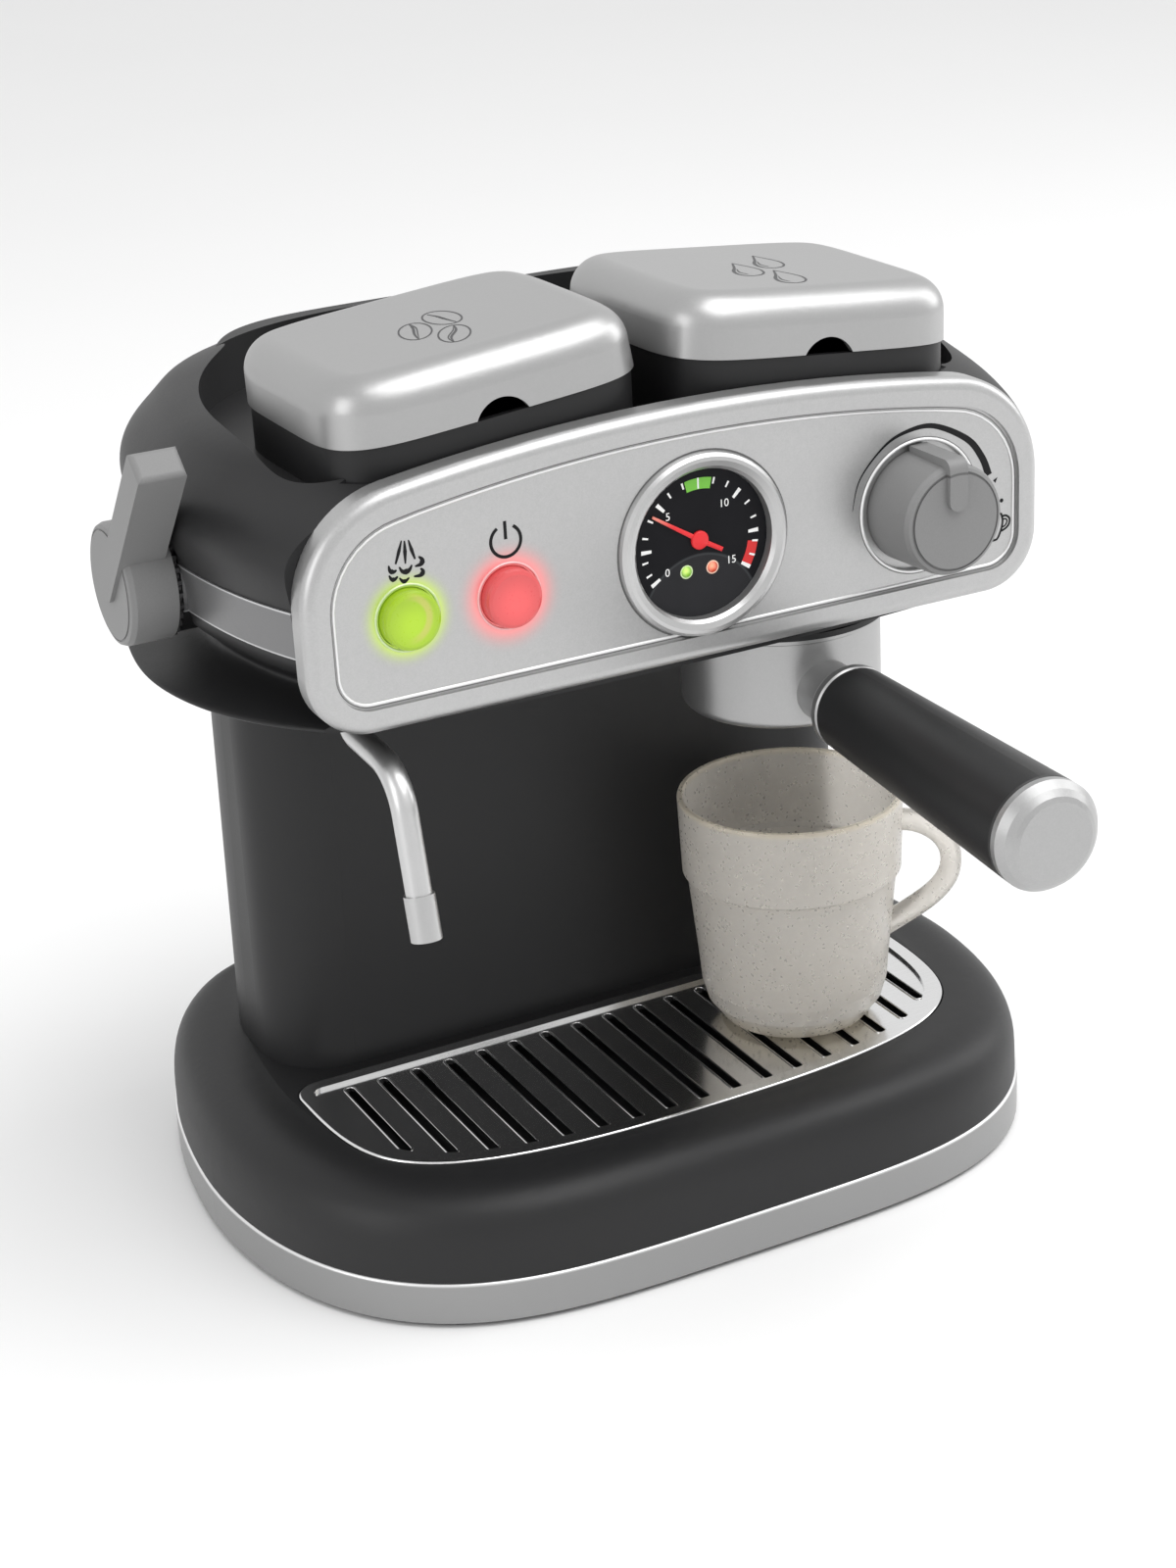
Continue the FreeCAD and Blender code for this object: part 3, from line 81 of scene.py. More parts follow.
class Finish:
    """The finish of one of the toy's materials, made of nodes. Its x, y and z are millimetres."""

    def __init__(self, name, colour, roughness, **constants):
        self.material = bpy.data.materials.new(name)
        self.material.use_nodes = True
        self.material.diffuse_color = (*colour, 1)
        self.tree = self.material.node_tree
        self.tree.nodes.clear()
        ending = self.tree.nodes.new("ShaderNodeOutputMaterial")
        self.shader = self.tree.nodes.new("ShaderNodeBsdfPrincipled")
        self.tree.links.new(self.shader.outputs[0], ending.inputs[0])
        self.set("Base Color", colour)
        self.set("Roughness", roughness)
        for socket, value in constants.items():
            self.set(socket.replace("_", " "), value)
        self.place = self.node("ShaderNodeTexCoord", {}, (), "Object")
        self.x, self.y, self.z = [
            self.node("ShaderNodeSeparateXYZ", {}, (self.place,), axis) * 1000 for axis in range(3)]

    def node(self, kind, settings=None, values=(), output=0):
        made = self.tree.nodes.new(kind)
        for name, value in (settings or {}).items():
            setattr(made, name, value)
        pairs = values.items() if isinstance(values, dict) else enumerate(values)
        for socket, value in pairs:
            self.feed(made.inputs[socket], value)
        return Shade(self, made.outputs[output])

    def feed(self, socket, value):
        if isinstance(value, Shade):
            self.tree.links.new(value.socket, socket)
        elif socket.type == "RGBA":
            socket.default_value = (*value, 1)
        else:
            socket.default_value = value

    def set(self, socket, value):
        self.feed(self.shader.inputs[socket], value)

    def mix(self, share, first, second):
        """The first colour where share is 0, and the second where it is 1."""
        return self.node("ShaderNodeMix", {"data_type": "RGBA"}, {0: share, 6: first, 7: second}, 2)

    def cloud(self, size, detail=2.0):
        """Soft noise from 0 to 1, whose spots are about so many millimetres across."""
        return self.node("ShaderNodeTexNoise", {},
                         {"Vector": self.place, "Scale": 1000 / size, "Detail": detail, "Roughness": 0.55})

    def flakes(self, size):
        """A random grey for each small cell of about so many millimetres."""
        return self.node("ShaderNodeTexVoronoi", {}, {"Vector": self.place, "Scale": 1000 / size}, "Color")

    def grain(self, height, depth, strength=1.0):
        """Relief from a height between 0 and 1, so many millimetres deep."""
        self.set("Normal", self.node("ShaderNodeBump", {},
                                     {"Height": height, "Distance": depth / 1000, "Strength": strength}))

    def ring(self, x, z):
        """The distance from a point of the front, in millimetres."""
        across = self.x - x
        along = self.z - z
        return (across * across + along * along) ** 0.5

    def present(self, socket):
        """What feeds a socket of the shader so far."""
        return Shade(self, self.shader.inputs[socket].links[0].from_socket)

    def glow(self, colour):
        """The light that the surface gives off by itself."""
        self.set("Emission Color", colour)
        self.set("Emission Strength", 1.0)

    def cover(self, *names):
        """Puts the finish on CAD nodes."""
        for name in names:
            nodes[name].data.materials.clear()
            nodes[name].data.materials.append(self.material)


def toned(colour, factor):
    """A colour made lighter or darker by a factor."""
    return tuple(channel * factor for channel in colour)


broad_spot = 38.0
fine_share = 0.55
lightest = 1.18
darkest = 0.84
fine_gloss = 0.14
broad_gloss = 0.07


def plastic(name, colour, roughness, texture=0.45, depth=0.02, **constants):
    """Moulded plastic with an eroded mould texture and slight changes of gloss."""
    finish = Finish(name, colour, roughness, **constants)
    fine = finish.cloud(texture, 3.0)
    broad = finish.cloud(broad_spot)
    tone = fine * fine_share + broad * (1 - fine_share)
    finish.set("Base Color", finish.mix(tone, toned(colour, darkest), toned(colour, lightest)))
    finish.set("Roughness", (fine - 0.5) * fine_gloss + (broad - 0.5) * broad_gloss + roughness)
    finish.grain(fine, depth)
    return finish


plastic("plate_plastic", (0.020, 0.020, 0.021), 0.55, 0.8, 0.03).cover("base_plate", "battery_door")
plastic("foot_rubber", (0.028, 0.028, 0.028), 0.82, 0.6, 0.05).cover("rubber_feet")

# Screws, pins, clips and rod. All are plain drawn or zinc-plated steel, so they share one finish
# with a fine grain on the metal and a slightly uneven gloss.
steel_grain = 0.25
steel_stain = 6.0
steel_relief = 0.004
grain_gloss = 0.2
stain_gloss = 0.12


def steel(name, colour, roughness):
    """Drawn steel with a fine grain and faint stains."""
    finish = Finish(name, colour, roughness, Metallic=1.0)
    grain = finish.cloud(steel_grain, 4.0)
    stains = finish.cloud(steel_stain)
    finish.set("Roughness", (grain - 0.5) * grain_gloss + (stains - 0.5) * stain_gloss + roughness)
    finish.set("Base Color", finish.mix(stains, toned(colour, 0.82), colour))
    finish.grain(grain, steel_relief)
    return finish


steel("drawn_steel", (0.56, 0.56, 0.57), 0.32).cover(
    "rear_cover_screws", "base_screws", "battery_door_screw", "selector_shaft_clip",
    "steam_shaft_clip", "bean_hinge_pin", "tank_hinge_pin", "handle_rod",
    "steam_button_spring", "power_button_spring")

# Batteries, speaker, circuit board and water pipe. They are shut in the housing and seen only
# through the louvres, and each has the plain finish of such a bought-in part.
steel("battery_case", (0.42, 0.43, 0.40), 0.38).cover("batteries")
steel("sprung_brass", (0.66, 0.52, 0.26), 0.34).cover("battery_contacts")
steel("speaker_steel", (0.30, 0.30, 0.31), 0.45).cover("speaker")
plastic("inner_plastic", (0.09, 0.09, 0.09), 0.5, 0.7).cover("battery_box", "button_switches", "water_pipe")

track_scale = 160.0
track_height = 0.03
board_varnish = Finish("board_varnish", (0.02, 0.14, 0.06), 0.3, Coat_Weight=0.4)
tracks = board_varnish.node("ShaderNodeTexBrick", {},
                            {"Vector": board_varnish.place, "Scale": track_scale}, "Fac")
board_varnish.set("Base Color", board_varnish.mix(tracks, (0.016, 0.12, 0.05), (0.045, 0.24, 0.10)))
board_varnish.grain(tracks, track_height)
board_varnish.cover("circuit_board")
lamp_lens = Finish("lamp_lens", (0.85, 0.85, 0.80), 0.15, Transmission_Weight=0.6)
lamp_lens.set("Roughness", lamp_lens.cloud(1.2) * 0.1 + 0.1)
lamp_lens.cover("button_lamps")

# Base shell and its ring. The shell is one black moulding whose sides curl over to a flat top
# round the drip well. A silver-painted ring goes round its foot, with a painted highlight along its upper
# edge.
ring_crown_z = 14.0
ring_grey = (0.33, 0.33, 0.33)
ring_highlight_grey = (0.86, 0.86, 0.86)
flake_size = 0.34
mottle_size = 1.6
silver_broad_spot = 60.0
flake_gloss = 0.08
silver_broad_gloss = 0.05


def silver(name, colour, roughness, sparkle=0.10, metal=0.86, relief=0.006):
    """Silver paint with fine flakes in it, sprayed on plastic."""
    finish = Finish(name, colour, roughness, Metallic=metal)
    flakes = finish.flakes(flake_size)
    mottle = finish.cloud(mottle_size, 3.0)
    broad = finish.cloud(silver_broad_spot)
    tone = flakes * fine_share + mottle * (1 - fine_share)
    finish.set("Base Color", finish.mix(tone, toned(colour, 1 - sparkle), toned(colour, 1 + sparkle)))
    finish.set("Roughness", (flakes - 0.5) * flake_gloss + (broad - 0.5) * silver_broad_gloss + roughness)
    finish.grain(mottle, relief)
    return finish


ring_silver = silver("ring_silver", ring_grey, 0.34)
# Painted highlight: the ring's upper edge is painted much paler than the rest of it.
ring_highlight_mask = ring_silver.z.rise(ring_crown_z - 1.0, ring_crown_z - 0.1)
ring_silver.set("Base Color", ring_silver.mix(ring_highlight_mask, ring_grey, ring_highlight_grey))
ring_silver.cover("base_ring")
black_plastic = plastic("black_plastic", (0.0125, 0.0125, 0.0132), 0.46, Specular_IOR_Level=0.36)
black_plastic.cover("base_shell", "column_shell")

# Drip grate. A thin plate with a raised rim and seventeen slots, bright as plated metal, with
# faint brushing from side to side. It lies loose in the well and lifts out.
grate_roughness = 0.17
brush_scale = 2600.0
brush_squeeze = 0.05
brush_relief = 0.003
grate_metal = Finish("grate_metal", (0.80, 0.80, 0.80), grate_roughness, Metallic=1.0)
stretched = grate_metal.node("ShaderNodeMapping", {},
                             {"Vector": grate_metal.place, "Scale": (brush_squeeze, 1.0, 1.0)})
brushing = grate_metal.node("ShaderNodeTexNoise", {},
                            {"Vector": stretched, "Scale": brush_scale, "Detail": 3.0})
grate_metal.set("Roughness", (brushing - 0.5) * 0.10 + grate_roughness)
grate_metal.set("Base Color", grate_metal.mix(brushing, (0.74, 0.74, 0.74), (0.86, 0.86, 0.86)))
grate_metal.grain(brushing, brush_relief)
grate_metal.cover("drip_grate")

# Slot lips of the grate. Each slot is pressed through from above, which leaves a rounded bright lip
# all round its edge, standing a little over the plate.
print_lift = 0.05
grate_half_width = 102.1
grate_middle_y = 44.7
grate_reach = 120.0
grate_floor = 37.9
grate_side_power = 2.5
grate_front_power = 8
slots_each_side = 8
slot_pitch = 10.85
slot_half = 1.3
slot_inset = 5.4
slot_back = -8.5
lip_radius = 0.34


def mesh_piece(name, corners, faces, finish, body, smooth=False):
    """A piece from corner points in millimetres and the faces between them, riding on a body."""
    data = bpy.data.meshes.new(name)
    data.from_pydata([Vector(corner) / 1000 for corner in corners], [], faces)
    data.materials.append(finish.material)
    if smooth:
        data.polygons.foreach_set("use_smooth", [True] * len(data.polygons))
    data.update()
    piece = bpy.data.objects.new(name, data)
    bpy.context.scene.collection.objects.link(piece)
    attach(piece, body)
    return piece


class Sheet:
    """A flat place that things are printed on, with its own across and upward directions."""

    def __init__(self, origin, across, upward, body):
        self.origin = Vector(origin)
        self.across = Vector(across).normalized()
        self.upward = Vector(upward).normalized()
        self.out = self.across.cross(self.upward)
        self.body = body

    def at(self, place, lift=print_lift):
        return self.origin + self.across * place[0] + self.upward * place[1] + self.out * lift

    def print(self, name, patches, finish, slot, lift=print_lift):
        """Prints patches, each a list of flat outlines, as one thin piece."""
        corners = []
        faces = []
        for outline in patches:
            faces.append(list(range(len(corners), len(corners) + len(outline))))
            corners += [self.at(place, lift) for place in outline]
        return mesh_piece(name, corners, faces, finish, self.body)


def spoke(centre, radius, angle):
    """A point at a distance from a centre; the angle is in degrees, anticlockwise from the right."""
    turn = math.radians(angle)
    return (centre[0] + radius * math.cos(turn), centre[1] + radius * math.sin(turn))


def arc(centre, radius, start, end, steps=24):
    """Points of an arc between two angles."""
    return [spoke(centre, radius, start + (end - start) * step / steps) for step in range(steps + 1)]


def circle(centre, radius, steps):
    """A closed round line."""
    return arc(centre, radius, 0, 360, steps)[:-1]


def bead(name, lines, radius, sheet, finish, sides=8):
    """A round bead along each of some closed lines, half sunk in a sheet."""
    corners = []
    faces = []
    for line in lines:
        first = len(corners)
        count = len(line)
        for index, place in enumerate(line):
            run = Vector(line[(index + 1) % count]) - Vector(line[index - 1])
            side = Vector((-run.y, run.x)).normalized()
            here = first + index * sides
            after = first + (index + 1) % count * sides
            for turn in range(sides):
                angle = math.tau * turn / sides
                spot = Vector(place) + side * radius * math.cos(angle)
                corners.append(sheet.at(spot, radius * math.sin(angle)))
                next_turn = (turn + 1) % sides
                faces.append([here + turn, here + next_turn, after + next_turn, after + turn])
    return mesh_piece(name, corners, faces, finish, sheet.body, True)


grate = Sheet((0, 0, grate_floor), (1, 0, 0), (0, 1, 0), "drip_tray_grate")
edge_radius = slot_half + lip_radius
slot_lines = []
for step in range(-slots_each_side, slots_each_side + 1):
    x = step * slot_pitch
    across = abs(x) / (grate_half_width - slot_inset)
    reach = (grate_reach - slot_inset) * (1 - across ** grate_side_power) ** (1 / grate_front_power)
    slot_front = grate_middle_y - reach + slot_half
    back_end = arc((x, slot_back), edge_radius, 0, 180, 8)
    slot_lines.append(back_end + arc((x, slot_front), edge_radius, 180, 360, 8))
lip_metal = steel("lip_metal", (0.78, 0.78, 0.78), 0.2)
bead("slot_lips", slot_lines, lip_radius, grate, lip_metal)

# Rear cover. A black panel with louvres for the speaker, screwed on at its corners. Its texture
# is a little coarser than that of the shells.
plastic("cover_plastic", (0.019, 0.019, 0.020), 0.52, 0.7, 0.03).cover("rear_cover")

# Head shells and band. The lower shell, the satin grey band and the upper shell with the recess
# stand on each other; the band is painted, and a thin painted highlight runs along each of its
# edges where it meets the black shells.
band_low_z = 196.5
band_high_z = 210.0
band_grey = (0.19, 0.19, 0.193)
black_plastic.cover("head_lower_shell", "head_upper_shell")
band_paint = silver("band_paint", band_grey, 0.36, 0.05, 0.7)
# Painted highlight: a pale line along the band's lower and upper edges.
band_highlight_mask = (band_paint.z - band_low_z).least(band_high_z - band_paint.z).rise(0.7, 0.15)
band_paint.set("Base Color", band_paint.mix(band_highlight_mask, band_grey, (0.60, 0.60, 0.61)))
band_paint.cover("head_band")

# Bean container and water tank with their lids. The black containers stand in the recess. Each
# silver-painted lid tips outwards, has a finger notch in front and a line drawing on its top.
lid_x = 49.0
lid_y = -26.0
lid_plane = 250.5
lid_tilt = math.radians(5.43)
lid_height = 17.4


def stroke(line, widths, closed=False):
    """Patches along a line, whose width runs through the given widths."""
    count = len(line)
    left = []
    right = []
    for index, place in enumerate(line):
        before = line[index - 1] if index or closed else place
        after = line[(index + 1) % count] if index < count - 1 or closed else place
        run = Vector(after) - Vector(before)
        side = Vector((-run.y, run.x)).normalized()
        share = index / (count - 1) * (len(widths) - 1)
        low = min(int(share), len(widths) - 2)
        width = widths[low] + (widths[low + 1] - widths[low]) * (share - low)
        left.append(tuple(Vector(place) + side * width / 2))
        right.append(tuple(Vector(place) - side * width / 2))
    last = count if closed else count - 1
    return [[right[i], right[(i + 1) % count], left[(i + 1) % count], left[i]] for i in range(last)]


def curved(points, steps=8):
    """A smooth line through points."""
    line = []
    for index in range(len(points) - 1):
        a = Vector(points[max(index - 1, 0)])
        b = Vector(points[index])
        c = Vector(points[index + 1])
        d = Vector(points[min(index + 2, len(points) - 1)])
        leaving = (c - a) * 0.5
        arriving = (d - b) * 0.5
        for step in range(steps):
            s = step / steps
            line.append(tuple(b * (1 + s * s * (2 * s - 3)) + c * s * s * (3 - 2 * s)
                              + leaving * s * (1 - s) ** 2 + arriving * s * s * (s - 1)))
    return line + [tuple(points[-1])]


def turned(points, angle, centre):
    """Points about their own middle, turned by an angle in degrees and set down at a centre."""
    c = math.cos(math.radians(angle))
    s = math.sin(math.radians(angle))
    return [(centre[0] + x * c - y * s, centre[1] + x * s + y * c) for x, y in points]


def lid_sheet(side, body):
    """The top of a lid, which leans outwards."""
    tilt = side * lid_tilt
    out = Vector((math.sin(tilt), 0, math.cos(tilt)))
    origin = Vector((side * lid_x, lid_y, lid_plane)) + out * lid_height
    return Sheet(origin, (math.cos(tilt), 0, -math.sin(tilt)), (0, 1, 0), body)


ink_texture = 0.3
silver("lid_silver", (0.42, 0.42, 0.42), 0.37, 0.04).cover("bean_lid", "tank_lid")
black_plastic.cover("bean_container", "water_tank")
line_ink = plastic("line_ink", (0.045, 0.045, 0.047), 0.5, ink_texture, 0.005)

# Of each bean: its middle, half its width and length, its lean, its seam, and how far the thin line
# beside the seam stands off.
beans = (
    ((3.75, -0.71), 4.58, 7.69, 1.9,
     [(-1.3, 6.3), (-0.35, 2.4), (-0.1, -0.7), (0.2, -3.5), (0.71, -7.2)], 0.15),
    ((-6.7, -6.32), 4.36, 8.12, -17.1, [(-0.69, 8.05), (-0.16, 3.5), (-0.5, -2.6), (-0.08, -7.7)], 0.95),
    ((-0.33, -17.32), 4.27, 7.97, -22.7, [(0.15, 7.8), (0.55, 3.0), (-0.92, -2.9), (-0.45, -7.6)], -0.95),
)
bean_patches = []
for middle, short_half, long_half, lean, seam, fold_width in beans:
    shell = [(x * short_half, y * long_half) for x, y in circle((0, 0), 1, 40)]
    fold = [(x + fold_width * (1 - (y / long_half) ** 2), y) for x, y in curved(seam)]
    bean_patches += stroke(turned(shell, lean, middle), (0.5, 0.5), True)
    bean_patches += stroke(turned(curved(seam), lean, middle), (0.25, 0.7, 0.8, 0.6, 0.25))
    bean_patches += stroke(turned(fold, lean, middle), (0.15, 0.4, 0.4, 0.15))
lid_sheet(-1, "bean_lid").print("bean_drawing", bean_patches, line_ink, "dial_black")

drop_left = [(1.8, 11.5), (-1.4, 4.9), (-4.2, 0.3), (-5.2, -3.7), (-4.3, -6.2), (-2.0, -7.3)]
drop_right = [(-2.0, -7.3), (0.9, -6.2), (3.2, -3.5), (4.4, 0.4), (4.1, 3.9), (3.1, 7.4), (1.8, 11.5)]
drop_gleam = [(-1.6, 3.2), (-3.3, -1.4), (-2.6, -4.9)]
drop_patches = []
for middle in ((4.63, 1.82), (-7.3, -7.21), (-1.58, -20.13)):
    for line, widths in ((drop_left, (0.5, 1.05, 0.8, 0.5)), (drop_right, (0.5, 0.7, 0.42, 0.4)),
                         (drop_gleam, (0.2, 0.5, 0.5, 0.2))):
        drop_patches += stroke(turned(curved(line), 0, middle), widths)
lid_sheet(1, "tank_lid").print("drop_drawing", drop_patches, line_ink, "dial_black")

# Front panel. A loaf-shaped silver-painted moulding with a round bead along its edge and a fine
# raised line inside it. The light of the lit buttons is painted round them, as a tint of their colour on the
# paint and a faint glow.
panel_face = -74.4
panel_half_width = 112.0
panel_bottom = 175.5
panel_crown = 246.6
panel_shoulder = 235.2
panel_top_corner = 31.0
panel_bottom_corner = 17.0
steam_button_place = (-83.4, 205.0)
power_button_place = (-54.5, 205.0)
full_glow_radius = 7.5
unlit = (0, 0, 0)

panel_silver = silver("panel_silver", (0.47, 0.47, 0.47), 0.36, 0.09, 0.8)
# Painted light of the buttons: the paint near each button takes on its colour, and a faint glow is added
# there.
painted_button_light = panel_silver.present("Base Color")
painted_glows = []
for place, colour, glow_radius in (
        (steam_button_place, (0.50, 0.66, 0.10), 14.5), (power_button_place, (0.84, 0.26, 0.26), 16.5)):
    near = panel_silver.ring(*place).rise(glow_radius, full_glow_radius)
    painted_button_light = panel_silver.mix(near ** 1.6, painted_button_light, colour)
    painted_glows.append(panel_silver.mix(near ** 2.2, unlit, toned(colour, 0.35)))
panel_silver.set("Base Color", painted_button_light)
panel_silver.glow(panel_silver.node("ShaderNodeMix", {"data_type": "RGBA", "blend_type": "ADD"},
                                    {0: 1.0, 6: painted_glows[0], 7: painted_glows[1]}, 2))
panel_silver.cover("front_panel")
front = Sheet((0, panel_face, 0), (1, 0, 0), (0, 0, 1), "machine")


def rounded(corners, radii, steps=10):
    """A closed line with its corners rounded; a corner of radius 0 stays as it is."""
    line = []
    count = len(corners)
    for index, corner in enumerate(corners):
        here = Vector(corner)
        if not radii[index]:
            line.append(tuple(here))
            continue
        to_last = (Vector(corners[index - 1]) - here).normalized()
        to_next = (Vector(corners[(index + 1) % count]) - here).normalized()
        half = to_last.angle(to_next) / 2
        reach = radii[index] / math.tan(half)
        centre = here + (to_last + to_next).normalized() * (radii[index] / math.sin(half))
        first = here + to_last * reach - centre
        last = here + to_next * reach - centre
        for step in range(steps + 1):
            line.append(tuple(centre + first.lerp(last, step / steps).normalized() * radii[index]))
    return line


def loaf_line(inset, steps=24):
    """The outline of the panel, drawn in by an inset. Its crown is one wide arc, without the points
    that fall where the upper corners are rounded."""
    half_x = panel_half_width - inset
    bottom = panel_bottom + inset
    shoulder = panel_shoulder - inset
    crown = panel_crown - inset
    rise = crown - shoulder
    radius = (half_x * half_x + rise * rise) / (2 * rise)
    top = []
    for step in range(steps + 1):
        x = half_x - 2 * half_x * step / steps
        top.append((x, crown - radius + math.sqrt(radius * radius - x * x)))
    corners = [(-half_x, bottom), (half_x, bottom)] + top
    radii = [panel_bottom_corner - inset] * 2 + [0] * len(top)
    radii[2] = radii[-1] = panel_top_corner - inset
    kept = [(corner, radius) for corner, radius in zip(corners, radii)
            if radius or abs(corner[0]) < half_x - panel_top_corner * 0.75]
    return rounded([corner for corner, radius in kept], [radius for corner, radius in kept])


panel_line_inset = 8.3
panel_groove_inset = 7.6
ink_relief = 0.003
shade_line_lift = 0.03
# Painted highlight: the raised line and the selector seat's rim are in a silver much paler than the panel's.
highlight_silver = silver("highlight_silver", (0.85, 0.85, 0.85), 0.4, 0.02, 0.6, 0.0005)
bead("panel_line", [loaf_line(panel_line_inset)], 0.45, front, highlight_silver)
# Painted shade: a dark line printed in the step just outside the raised line; the same ink draws the other
# painted shade lines.
shade_line_ink = plastic("shade_line_ink", (0.16, 0.16, 0.16), 0.5, ink_texture, ink_relief)
front.print("panel_groove", stroke(loaf_line(panel_groove_inset), (0.26, 0.26), True), shade_line_ink,
            "silver_paint", shade_line_lift)

# Signs over the buttons. They are printed on the panel in black: a steam jet with puffs, and the
# ring and stem that stand for power.
power_sign = (-54.5, 220.0)
power_line = (0.9, 0.9)
sign_ink = plastic("sign_ink", (0.006, 0.006, 0.007), 0.5, ink_texture, 0.004, Specular_IOR_Level=0.2)
steam_patches = []
for line, widths in (
        ([(-83.45, 225.7), (-84.4, 222.9), (-85.55, 219.8)], (0.3, 0.95, 0.5)),
        ([(-82.65, 225.5), (-82.72, 222.6), (-82.85, 219.4)], (0.35, 1.05, 0.35)),
        ([(-81.55, 225.5), (-80.9, 222.8), (-80.1, 220.1)], (0.3, 1.0, 0.45)),
        ([(-87.5, 219.8), (-87.2, 218.4), (-86.3, 217.9), (-85.4, 218.2)], (0.35, 1.4, 0.4)),
        ([(-84.6, 218.9), (-83.9, 217.6), (-82.8, 217.3), (-81.8, 217.7), (-81.1, 218.8)], (0.35, 1.6, 0.35)),
        ([(-79.1, 220.6), (-78.2, 219.6), (-78.6, 218.5), (-80.3, 218.2)], (0.4, 1.55, 0.4)),
        ([(-87.6, 217.2), (-87.0, 216.1), (-86.1, 215.9), (-85.2, 216.5)], (0.35, 1.3, 0.4)),
        ([(-84.8, 216.0), (-84.0, 215.0), (-83.1, 214.9), (-82.1, 215.6)], (0.35, 1.25, 0.35)),
        ([(-78.8, 217.4), (-78.2, 216.5), (-78.9, 215.6), (-80.8, 215.6)], (0.4, 1.45, 0.4))):
    steam_patches += stroke(curved(line), widths)
front.print("steam_sign", steam_patches, sign_ink, "dial_black")
power_patches = stroke(arc(power_sign, 4.3, 122, 418, 40), power_line)
stem_foot = (power_sign[0], power_sign[1] + 0.4)
stem_top = (power_sign[0], power_sign[1] + 5.3)
power_patches += stroke([stem_foot, stem_top], power_line)
front.print("power_sign", power_patches, sign_ink, "dial_black")

# Gauge. A turned silver bezel holds a printed black dial with a scale from 0 to 15 and a green and a
# red sector. A paler field below, inside an arc with a fine edge, carries the two signal lamps.
gauge = (3.5, 207.8)
dial_depth = 1.8
field_centre = (3.0, 186.7)
field_radius = 17.5
silver("bezel_silver", (0.52, 0.52, 0.52), 0.33, 0.03, 0.85, 0.0015).cover("gauge_bezel")
# Painted shadow: a dark ring printed on the panel round the foot of the bezel.
bezel_shadow_ink = plastic("bezel_shadow_ink", (0.10, 0.10, 0.10), 0.5, ink_texture, ink_relief)
bezel_radius = nodes["gauge_bezel"].dimensions.x * 1000 / 2
front.print("bezel_shadow_line", stroke(circle(gauge, bezel_radius + 0.2, 72), (0.5, 0.5), True),
            bezel_shadow_ink, "dial_black", shade_line_lift)
dial_black = Finish("dial_black", (0.02, 0.02, 0.022), 0.4, Specular_IOR_Level=0.12)
from_arc = dial_black.ring(*field_centre)
lower = dial_black.mix(dial_black.cloud(9.0), (0.019, 0.019, 0.021), (0.027, 0.027, 0.030))
upper = dial_black.mix(dial_black.cloud(9.0), (0.0055, 0.0055, 0.007), (0.009, 0.009, 0.011))
field = dial_black.mix(from_arc.rise(field_radius - 0.2, field_radius + 0.2), lower, upper)
edge = from_arc.rise(field_radius - 0.3, field_radius + 0.1)
edge = edge * from_arc.rise(field_radius + 0.8, field_radius + 0.2)
dial_black.set("Base Color", dial_black.mix(edge * 0.5, field, (0.075, 0.080, 0.085)))
dial_black.set("Roughness", dial_black.cloud(0.8) * 0.12 + 0.42)
dial_black.grain(dial_black.cloud(0.5), 0.004)
dial_black.cover("gauge_dial")
dial = Sheet((0, panel_face + dial_depth, 0), (1, 0, 0), (0, 0, 1), "machine")
dial_white = plastic("dial_white", (0.84, 0.84, 0.83), 0.45, ink_texture, ink_relief)
dial_green = plastic("dial_green", (0.16, 0.50, 0.045), 0.45, ink_texture, ink_relief)
dial_red = plastic("dial_red", (0.62, 0.018, 0.018), 0.45, ink_texture, ink_relief)


def on_dial(angle, radius):
    """A place on the dial, by its clockwise angle from the top."""
    return spoke(gauge, radius, 90 - angle)


tick_end = 18.0
tick_lift = 0.08
sector_middle = 16.4
sector_width = 3.1
number_size = 3.1
number_lift = 0.06
long_ticks = (-122, -89, -45, 45, 89, 123)
short_ticks = (-112, -99, -76, -60, -31, -16, 16, 31, 60, 76, 99, 112)
tick_patches = stroke([on_dial(0, 15.0), on_dial(0, tick_end)], (0.5, 0.5))
for angle in long_ticks:
    tick_patches += stroke([on_dial(angle, 14.9), on_dial(angle, tick_end)], (0.85, 1.15))
for angle in short_ticks:
    tick_patches += stroke([on_dial(angle, 16.2), on_dial(angle, tick_end)], (0.5, 0.6))
dial.print("dial_ticks", tick_patches, dial_white, "dial_black", tick_lift)
for name, start, end, finish in (
        ("dial_green_sector", -13.5, 13.5, dial_green), ("dial_red_sector", 99, 122, dial_red)):
    middle = [on_dial(start + (end - start) * step / 16, sector_middle) for step in range(17)]
    dial.print(name, stroke(middle, (sector_width, sector_width)), finish, "dial_black")
for text, x, z in (("0", -6.8, 201.1), ("5", -6.0, 216.6), ("10", 11.2, 217.3), ("15", 12.9, 201.1)):
    curve = bpy.data.curves.new("number", "FONT")
    curve.body = text
    curve.size = number_size / 1000
    curve.align_x = "CENTER"
    curve.align_y = "CENTER"
    carrier = bpy.data.objects.new("number", curve)
    bpy.context.scene.collection.objects.link(carrier)
    bpy.context.view_layer.update()
    drawn = bpy.data.meshes.new_from_object(carrier.evaluated_get(bpy.context.evaluated_depsgraph_get()))
    corners = [dial.at((x + v.co.x * 1000, z + v.co.y * 1000), number_lift) for v in drawn.vertices]
    mesh_piece("dial_number_" + text, corners, [list(p.vertices) for p in drawn.polygons], dial_white,
               "machine")
    bpy.data.objects.remove(carrier)

